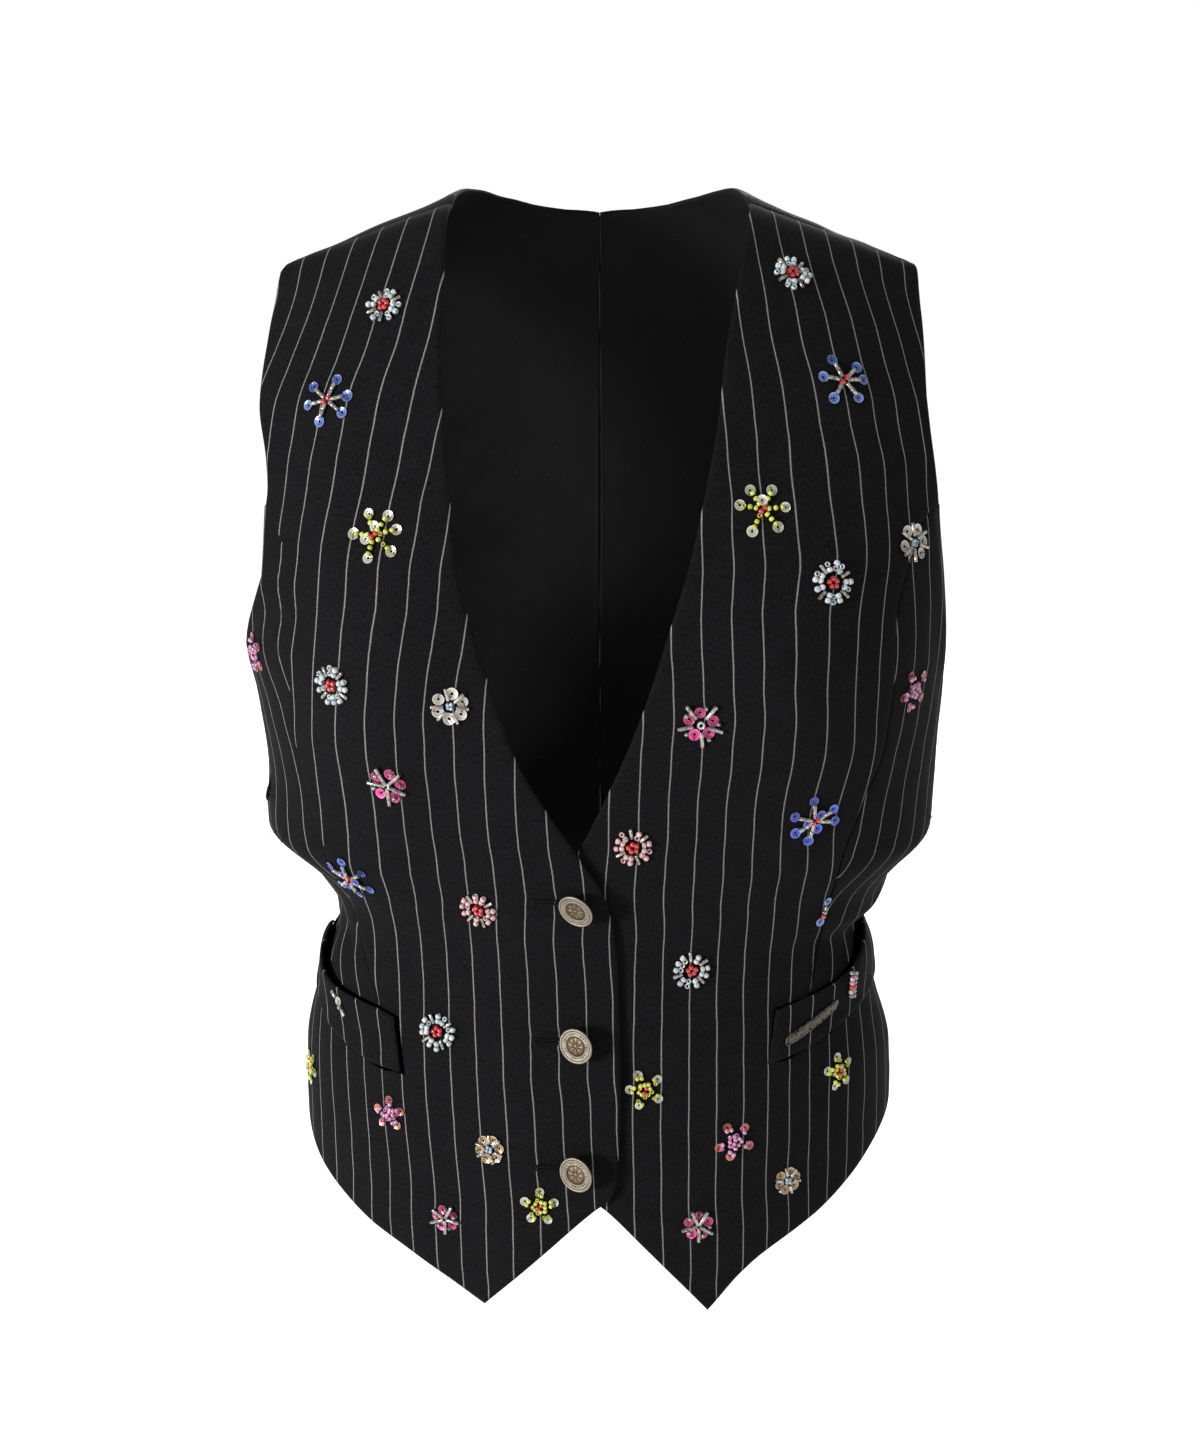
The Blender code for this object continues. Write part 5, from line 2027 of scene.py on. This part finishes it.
    def star(self) -> None:
        """Arms of beads or bugles in line, each with a sequin at its end."""
        palette, large = self.scheme.value, self.reach > self.LARGE
        self.heart(2, 1.3 if large else 1.1)
        count = 6 if large else 5
        arms = [math.radians(a) for a in self.arms] or \
            [2 * math.pi * (k + 0.25) / count + self.spin + self.jitter(0.14) for k in range(count)]
        for angle in arms:
            size = (2.35 if large else 2.0) + self.jitter(0.12)
            tip = self.reach - size + self.jitter(0.35)
            self.disc(size, tip, angle, lift=0.1, tip=self.jitter(0.14))
            stop = tip - size * 0.72
            if palette.beads is Notion.SILVER:
                half = (stop - 1.6) / 2
                part = BeadKit.bugle(half - 0.1, 0.92)
                self.sew(part, palette.beads, 1.6, angle, lift=0.15, tip=0.03)
                self.sew(part, palette.tips, 1.6 + half, angle, lift=0.2)
                continue
            beads = max(2, round((stop - 1.7) / 2.3))
            for at in np.linspace(2.8, stop, beads):
                for aside in ((0,) if large else (-1, 1)):
                    self.bead(palette.beads, 1.12 if large else 1.04, at + 0.35 * aside,
                              angle + aside * 0.98 / at, lift=0.2)
        for k in range(self.inner):
            self.disc(2.2, 3.9, arms[(2 * k + 1) % len(arms)] + 0.5, lift=1.3, tip=0.1)

    def rosette(self) -> None:
        """Sequin petals with bugles between them and a cluster of beads in the middle."""
        size, petals = min(2.6, self.reach * 0.33), 6
        for k in range(petals):
            angle = 2 * math.pi * k / petals + self.spin + self.jitter(0.1)
            self.disc(size, self.reach - size, angle, lift=0.1 + 0.25 * (k % 2),
                      tip=0.08 + self.jitter(0.1))
            angle += math.pi / petals + self.jitter(0.15)
            self.sew(BeadKit.bugle(self.reach - 2.9, 0.78), self.scheme.value.beads, 2.7, angle,
                     lift=0.5, tip=-0.03)
        self.heart(4, 0.92)

    def burst(self) -> None:
        """Sequins with bugles that shoot out between them, round a ring bead where inner is set."""
        palette, size, petals = self.scheme.value, min(2.5, self.reach * 0.29), 5
        drawn_in, start = (2.3, 3.4) if self.inner else (0.7, 0.7)
        for k in range(petals):
            angle = 2 * math.pi * k / petals + self.spin + self.jitter(0.12)
            self.disc(size, self.reach - size - drawn_in + self.jitter(0.3), angle, lift=0.12,
                      tip=0.06 + self.jitter(0.12))
            angle += math.pi / petals + self.jitter(0.15)
            part = BeadKit.bugle(self.reach - start + self.jitter(0.5), 0.9)
            self.sew(part, palette.beads, start, angle, lift=0.55, tip=self.jitter(0.05))
            self.bead(Notion.CLEAR, 0.95, self.reach - 2.6, angle + 0.4, lift=0.3)
        if self.inner:
            self.sew(BeadKit.ring_bead(1.75), palette.middle, 0.0, 0.0, lift=0.9)

    def line(self) -> None:
        """A short row sewn end to end, its beads side by side in pairs where inner is set."""
        sizes = [self.SEQUIN if isinstance(notion.value, Foil)
                 else self.BUGLE if notion is Notion.SILVER else self.BEAD for notion in self.row]
        at = -sum(sizes) / 2
        for notion, size in zip(self.row, sizes):
            middle = at + size / 2
            if isinstance(notion.value, Foil):
                self.disc(size / 2, middle, self.spin, lift=0.1, finish=notion)
            elif notion is Notion.SILVER:
                self.sew(BeadKit.bugle(size - 0.2, 0.85), notion, at, self.spin, lift=0.1)
            else:
                for aside in ((-1.15, 1.15) if self.inner else (0.0,)):
                    self.bead(notion, size * 0.54, math.hypot(middle, aside),
                              self.spin + math.atan2(aside, middle),
                              spin=self.spin + self.jitter(0.5), lift=0.1)
            at += size


FLOWERS = (
    # the wearer's right front, from the shoulder down
    Flower((385, 306), Motif.RING, Scheme.ICE, 17.5),
    Flower((328, 401), Motif.STAR, Scheme.BLUE, 24.0, arms=(144, 72, 14, -32, -108, -168)),
    Flower((375, 536), Motif.STAR, Scheme.YELLOW, 24.5, inner=2, arms=(18, 59, 111, 177, 258, 322)),
    Flower((256, 653), Motif.STAR, Scheme.LILAC, 19.0, spin=0.2),
    Flower((333, 685), Motif.RING, Scheme.ICE, 19.0, spin=0.3),
    Flower((450, 706), Motif.ROSETTE, Scheme.CREAM, 16.5, spin=0.4),
    Flower((388, 785), Motif.BURST, Scheme.MAGENTA, 18.5, spin=0.1),
    Flower((350, 878), Motif.STAR, Scheme.DEEP, 25.5, spin=0.35, inner=3),
    Flower((479, 909), Motif.RING, Scheme.PINK, 18.5, spin=0.1),
    Flower((340, 1003), Motif.LINE, Scheme.LEMON, spin=-0.75,
           row=(Notion.SILVER, Notion.PALE_FOIL, Notion.CLEAR, Notion.SILVER)),
    Flower((438, 1031), Motif.RING, Scheme.ICE, 19.0, spin=0.2),
    Flower((312, 1066), Motif.STAR, Scheme.YELLOW, 17.0, spin=0.7),
    Flower((390, 1113), Motif.STAR, Scheme.LILAC, 17.0, spin=0.1),
    Flower((490, 1149), Motif.ROSETTE, Scheme.GOLD, 14.0, spin=0.2),
    Flower((446, 1218), Motif.BURST, Scheme.MAGENTA, 15.0, spin=0.6),
    Flower((540, 1206), Motif.STAR, Scheme.YELLOW, 18.0, spin=0.0),
    # the wearer's left front
    Flower((792, 274), Motif.RING, Scheme.ICE, 18.0, spin=0.2),
    Flower((843, 381), Motif.STAR, Scheme.BLUE, 24.0, arms=(113, 38, 2, -51, -127, 168)),
    Flower((762, 510), Motif.STAR, Scheme.YELLOW, 24.0, inner=1, arms=(120, 62, 6, -49, -117, 167)),
    Flower((913, 543), Motif.ROSETTE, Scheme.CREAM, 17.5, spin=0.1),
    Flower((832, 583), Motif.RING, Scheme.ICE, 20.0, spin=0.05),
    Flower((913, 690), Motif.STAR, Scheme.LILAC, 21.0, spin=0.5),
    Flower((701, 724), Motif.BURST, Scheme.MAGENTA, 20.0, spin=0.3, inner=1),
    Flower((633, 847), Motif.RING, Scheme.PINK, 18.5, spin=0.25),
    Flower((814, 820), Motif.STAR, Scheme.DEEP, 25.0, arms=(100, 28, -8, -98, -145, 165), inner=3),
    Flower((823, 911), Motif.LINE, Scheme.BLUE, spin=-1.72,
           row=(Notion.BLUE_FOIL, Notion.CLEAR, Notion.CLEAR, Notion.RED, Notion.BLUE_FOIL)),
    Flower((691, 970), Motif.RING, Scheme.ICE, 18.5, spin=0.15),
    Flower((851, 984), Motif.LINE, Scheme.ROSE, spin=-1.62, inner=1,
           row=(Notion.CLEAR, Notion.PINK, Notion.LILAC, Notion.RED, Notion.PINK, Notion.CLEAR)),
    Flower((645, 1090), Motif.STAR, Scheme.YELLOW, 19.0, spin=0.3),
    Flower((838, 1071), Motif.STAR, Scheme.YELLOW, 18.0, spin=0.15),
    Flower((734, 1141), Motif.STAR, Scheme.LILAC, 19.0, spin=0.45),
    Flower((787, 1180), Motif.ROSETTE, Scheme.GOLD, 13.5, spin=0.3),
    Flower((698, 1225), Motif.BURST, Scheme.MAGENTA, 16.0, spin=0.2),
)


@dataclass
class Frays:
    """Loose threads where an armhole meets its side seam; each spot is x, y, count and length."""

    word: str
    spots: tuple[tuple[float, float, int, float], ...]
    seed: int

    def build(self, carrier: Carrier, eye: Eye) -> Object:
        """Builds the threads: each starts on the cloth and curls off it.

        Args:
            carrier: Cloth that they start on.
            eye: Line of sight that their starts are placed along.

        Returns:
            The new piece.
        """
        draw = random.Random(self.seed)
        shape = Shape()
        for x, y, count, long in self.spots:
            for _ in range(count):
                spot = x + draw.uniform(-5, 5), y + draw.uniform(-6, 6)
                place, normal = carrier.seen(eye, spot)
                heading = np.array([draw.uniform(-0.7, 0.7), -0.1, draw.uniform(-1.0, 0.4)])
                bend = np.array([draw.uniform(-1, 1), draw.uniform(-0.4, 0.2),
                                 draw.uniform(-1.3, 0.3)])
                t = np.linspace(0.0, 1.0, 14)[:, None]
                reach = long * draw.uniform(0.5, 1.1)
                path = place + heading * reach * t + bend * reach * 0.7 * t ** 2
                path = path + normal * (0.12 + 1.6 * np.sin(np.pi * t * 0.7))
                shape.add(*tube(path, 0.11, 4))
        return shape.make(f"frayed_threads_{self.word}", [FINISHES[BLACK_THREAD]])


# ---- studio
class FinishBook(dict):
    """Materials by finish, each made when it is first asked for."""

    def __missing__(self, finish: Any) -> Material:
        """Makes and keeps the material."""
        self[finish] = finish.material()
        return self[finish]


FINISHES = FinishBook()


@dataclass
class Studio:
    """Pale floor, white surroundings and soft lights."""

    floor_at: float = -560.0
    paper: StudioPaper = StudioPaper("studio_paper")
    backdrop: StudioPaper = StudioPaper("backdrop_paper", (0.0, 0.0, 0.0), 1.0)

    AIM = Vector((0.0, 0.0, -0.22))
    SIDES, ROWS = 96, 20
    RINGS = (0.0, 200.0, 700.0, 2000.0, 6000.0, 14000.0)
    DOME = 15000.0
    SKY = 0.4

    def light(self, name: str, place: tuple[float, float, float], size: float,
              power: float) -> None:
        """Adds a square soft light that faces the garment's middle.

        Args:
            name: Its name.
            place: Where it stands, in metres.
            size: Its width in metres.
            power: Its power in watts.
        """
        data = bpy.data.lights.new(name, "AREA")
        data.shape, data.size, data.energy = "SQUARE", size, power
        light = bpy.data.objects.new(name, data)
        light.location = place
        light.rotation_euler = (self.AIM - Vector(place)).to_track_quat("-Z", "Y").to_euler()
        bpy.context.scene.collection.objects.link(light)

    def surroundings(self) -> tuple[Object, Object]:
        """Builds a round floor, and a dome that only the camera sees.

        Returns:
            Floor and dome.
        """
        radius, angle = np.meshgrid(np.array(self.RINGS), circle(self.SIDES), indexing="ij")
        x, y = radius * np.cos(angle), radius * np.sin(angle)
        shape = Shape()
        shape.add(table(x, y, np.full(x.shape, self.floor_at)),
                  grid_faces(*x.shape, closed=True)[:, ::-1], table(x, y) * MM)
        floor = shape.make("floor", [FINISHES[self.paper]], weld=True)
        rows = np.radians(np.linspace(-8.0, 90.0, self.ROWS))
        angle, height = np.meshgrid(circle(self.SIDES), rows)
        reach = self.DOME * np.cos(height)
        shape = Shape()
        shape.add(table(reach * np.cos(angle), reach * np.sin(angle), self.DOME * np.sin(height)),
                  grid_faces(*angle.shape, closed=True), np.zeros((angle.size, 2)))
        dome = shape.make("backdrop", [FINISHES[self.backdrop]], weld=True)
        for ray in ("diffuse", "glossy", "transmission", "shadow", "volume_scatter"):
            setattr(dome, f"visible_{ray}", False)
        floor.visible_diffuse = False
        return floor, dome

    def build(self) -> None:
        """Builds floor, sky and lights."""
        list(self.surroundings())
        world = bpy.data.worlds.new("sky")
        world.use_nodes = True
        sky = world.node_tree.nodes["Background"].inputs
        sky[0].default_value, sky[1].default_value = (1.0, 1.0, 1.0, 1.0), self.SKY
        bpy.context.scene.world = world
        bpy.context.scene.view_settings.view_transform = "Standard"
        self.light("key", (-1.75, -1.5, -0.05), 0.45, 42.0)
        self.light("fill", (1.9, -1.5, 0.5), 1.5, 4.0)
        self.light("back", (0.3, 1.9, 0.8), 1.3, 30.0)


# ---- this garment
BUTTON_LEVELS = (-284.0, -352.5, -411.0)

FRONT_CREASES = (
    Crease(88, -282, 46, -316, 18, 1.5, 0.2),
    Crease(30, -330, 70, -372, 16, 0.9, 0.2),
    Crease(40, -70, 58, -112, 15, 1.1, 0.2),
)
BACK_CREASES = (
    Crease(84, -292, 40, -322, 18, 1.5, 0.2),
    Crease(60, -338, 14, -326, 16, 1.1, 0.2),
    Crease(52, -90, 66, -170, 16, 1.4, 0.2),
)


RIGHT_CREASES = (
    Crease(86, -300, 58, -326, 6.0, 1.1), Crease(89, -318, 64, -338, 4.5, 0.9),
    Crease(80, -262, 52, -300, 7.0, 0.8), Crease(14, -296, 34, -276, 6.0, 0.5),
    Crease(12, -362, 36, -346, 6.5, 0.45), Crease(62, -150, 70, -200, 6.0, 0.5))
LEFT_CREASES = (
    Crease(86, -306, 52, -330, 6.0, 1.1), Crease(88, -286, 60, -306, 5.0, 0.9),
    Crease(89, -322, 66, -342, 4.5, 0.8), Crease(24, -288, 44, -262, 6.5, 0.6),
    Crease(22, -352, 44, -338, 6.0, 0.4), Crease(60, -160, 70, -205, 6.0, 0.5))
OWN_BACK_CREASES = {
    Side.RIGHT: (Crease(80, -318, 44, -338, 6.0, 1.0), Crease(40, -300, 8, -312, 7.0, 0.9),
                 Crease(70, -250, 40, -290, 8.0, 0.9), Crease(58, -120, 74, -200, 7.0, 0.8)),
    Side.LEFT: (Crease(84, -330, 50, -342, 5.5, 1.0), Crease(48, -308, 6, -326, 7.0, 1.0),
                Crease(74, -262, 46, -296, 7.0, 0.8), Crease(60, -100, 72, -185, 8.0, 0.9))}

RIGHT_FRONT = FrontPanel(
    side=Side.RIGHT, form=FRONT_FORM, creases=FRONT_CREASES + RIGHT_CREASES, seed=3,
    neck=Curve(((-426, 4.5), (-418, 7.5), (-379, 9.3), (-315, 7.8), (-283, 2.4), (-262, -9.2),
                (-240, -23.1), (-213, -36.7), (-181, -47.1), (-152, -55.6), (-135, -59.4),
                (-99, -63.1), (-73, -65.9), (-53, -66.7), (-32, -66), (-8, -67), (0, -66.5))),
    arm=Curve(((-270, -161), (-247, -157.6), (-226, -156.6), (-212, -158.6), (-190, -161.2),
               (-180, -161.2), (-168, -158.4), (-152, -151.2), (-146, -148.4), (-121, -146.3),
               (-108, -144.8), (-94, -145.7), (-69, -148.2), (-50, -147.8), (-24, -146.5),
               (-3, -144), (0, -142))),
    dart=Curve(((-455, -108), (-400, -106), (-344, -103.7), (-334, -107), (-300, -117.5),
                (-267, -125), (-247, -131), (-229, -133.6), (-215, -136), (-189, -135.6),
                (-166, -134.6), (-137, -134.4), (-127, -138.4), (-115, -145.5))),
    hem_inner=Curve(((-1.6, -426), (0.9, -432), (19.8, -480))),
    hem_outer=Curve(((19.8, -480), (28, -469), (39, -456), (53, -445), (61, -439), (74, -429),
                     (90, -420))),
    side_top=-270.0, side_hem=-420.0, seam_phase=0.40, buttonhole_levels=BUTTON_LEVELS,
    dart_depth=Curve(((-362, 0), (-346, 0.5), (-300, 0.35), (-230, 0.18), (-115, 0.1))),
    pulls=(Pull(-142, -147, -1.8), Pull(-144, -160.5, 2.4), Pull(-144, -177, -2.0),
           Pull(-124, -34, 0.9, 18, 12)),
    lean=Curve(((-490, -0.7), (-430, -0.55), (-370, -0.3), (-275, -0.1), (-235, 0.1), (-192, 0.05),
                (-167, -0.2), (-134, -0.6), (-102, -1), (-71, -1.65), (-43, -2.2), (-14, -2.65),
                (0, -2.8))),
    spread=Curve(((-450, -0.1), (-400, -0.4), (-373, -0.4), (-337, 0.1), (-316, 0.4), (-219, 0.6),
                  (-167, 0.4), (-134, 0.4), (-102, 0.3), (-71, 0.4), (-43, 0.3), (0, 0))))
LEFT_FRONT = FrontPanel(
    side=Side.LEFT, form=FRONT_FORM, creases=FRONT_CREASES + LEFT_CREASES, seed=4,
    neck=Curve(((-411, -25), (-400, -26.5), (-320, -26.5), (-292, -24), (-275, -17.5),
                (-257, -7.3), (-232, 4.3), (-199, 17.2), (-159, 29.7), (-135, 37), (-107, 43.5),
                (-76, 49.9), (-60, 52), (-33, 58.4), (-18, 61.9), (-8, 64.9), (0, 66.8))),
    arm=Curve(((-279, 157), (-257, 160.4), (-226, 160), (-198, 158.6), (-165, 156.2),
               (-136, 152), (-117, 149.3), (-100, 147.2), (-74, 143.5), (-61, 142.5),
               (-39, 143), (-14, 143.2), (0, 143))),
    dart=Curve(((-448, 103), (-400, 101), (-338, 98), (-332, 99), (-299, 103.5),
                (-268, 109), (-242, 117), (-217, 125), (-186, 127), (-162, 127),
                (-140, 132.4), (-120, 140.8), (-115, 149))),
    hem_inner=Curve(((-9.3, -411), (0, -432), (6.8, -451), (18.4, -484))),
    hem_outer=Curve(((18.4, -484), (25, -467), (30, -458), (47, -440), (60, -428), (70, -420),
                     (90, -410))),
    side_top=-279.0, side_hem=-410.0, seam_phase=0.32,
    dart_depth=Curve(((-362, 0), (-350, 0.9), (-300, 0.9), (-220, 0.6), (-115, 0.4))),
    lean=Curve(((-450, 0), (-395, -0.1), (-297, -0.08), (-238, 0), (-191, 0.1), (-134, 0.02),
                (-102, -0.05), (-72, -0.3), (-45, -0.65), (-14, -0.9), (0, -1))),
    spread=Curve(((-450, -0.3), (-376, -0.4), (-297, 0), (-257, 0), (-219, 0.4), (-166, 0.4),
                  (-134, 0.7), (-102, 0.6), (-72, 0.3), (-45, 0.2), (-14, -0.1))))
RIGHT_POCKET = Pocket(
    RIGHT_FRONT, inner_x=94.5, overrun=0.014,
    top=Curve(((0, -349), (0.11, -346.4), (0.25, -345), (0.43, -343.5), (0.6, -340), (0.75, -333),
               (1, -327))),
    foot=Curve(((0, -374.3), (0.13, -373.3), (0.3, -369.2), (0.5, -363), (0.7, -356.5), (1, -350))),
    mouth=Curve(((-0.02, 0), (0.2, 0.1), (0.4, 0.5), (0.55, 2.8), (0.8, 4.4), (1, 2.5))))
LEFT_POCKET = Pocket(
    LEFT_FRONT, inner_x=80.0, overrun=0.0,
    top=Curve(((0, -343.5), (0.2, -339.5), (0.42, -334.5), (0.55, -329.5), (0.75, -322),
               (1, -318))),
    foot=Curve(((0, -368.5), (0.13, -365.3), (0.29, -360), (0.47, -355), (0.88, -347.4),
                (1, -346))),
    mouth=Curve(((-0.02, 0), (0.3, 0.1), (0.5, 0.8), (0.7, 3.2), (0.85, 5.6), (1, 5))))
BACKS = tuple(BackPanel(
    side=side, form=BACK_FORM, creases=BACK_CREASES + OWN_BACK_CREASES[side], seed=8 + side.value,
    hem=Curve(((0, -410), (30, -411), (60, -413), (90, -415))),
    neck=Curve(((-12, 0.2), (-9, 18), (-1, 37), (12, 50), (30, 59), (50, 64.5), (66, 66.6))),
    arm=Curve(((-250, 155), (-240, 153.5), (-200, 147), (-160, 141), (-110, 136),
               (-60, 134.5), (-30, 135.5), (4, 138), (40, 140.5), (66, 141.5))),
    side_top=front.side_top, side_hem=front.side_hem)
    for side, front in ((Side.RIGHT, RIGHT_FRONT), (Side.LEFT, LEFT_FRONT)))


def report(piece: Object) -> Object:
    """Logs a piece's faces and passes it on."""
    LOG.info("%s: %d faces", piece.name, len(piece.data.polygons))
    return piece


def main() -> None:
    """Builds the garment, its metal, its beadwork and the studio."""
    logging.basicConfig(level=logging.INFO, format="%(name)s: %(message)s", stream=sys.stdout,
                        force=True)
    eye = Eye()
    eye.make_camera()
    fronts, pockets = (RIGHT_FRONT, LEFT_FRONT), (RIGHT_POCKET, LEFT_POCKET)
    built = [report(panel.build()) for panel in fronts + BACKS + pockets]
    cloth = {piece.name: piece for piece in built}
    for side in Side:
        word = side.word
        front, back, welt = (cloth[f"cloth_{kind}_{word}"] for kind in ("front", "back", "welt"))
    for pocket in pockets:
        report(pocket.build_mouth())
    report(MetalBar(LEFT_POCKET).build())
    for number, level in enumerate(BUTTON_LEVELS, start=1):
        button = Button(RIGHT_FRONT, number, level)
        report(button.build())
        report(button.build_hole())
    carrier = Carrier(fronts + pockets)
    for number, flower in enumerate(FLOWERS, start=1):
        report(flower.build(number, carrier, eye))
    report(Frays("right", ((272, 790, 9, 4.0), (284, 836, 6, 5.0)), 31).build(carrier, eye))
    report(Frays("left", ((930, 812, 7, 6.0), (921, 836, 6, 6.0)), 32).build(carrier, eye))
    Studio().build()
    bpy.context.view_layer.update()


if __name__ == "__main__":
    main()
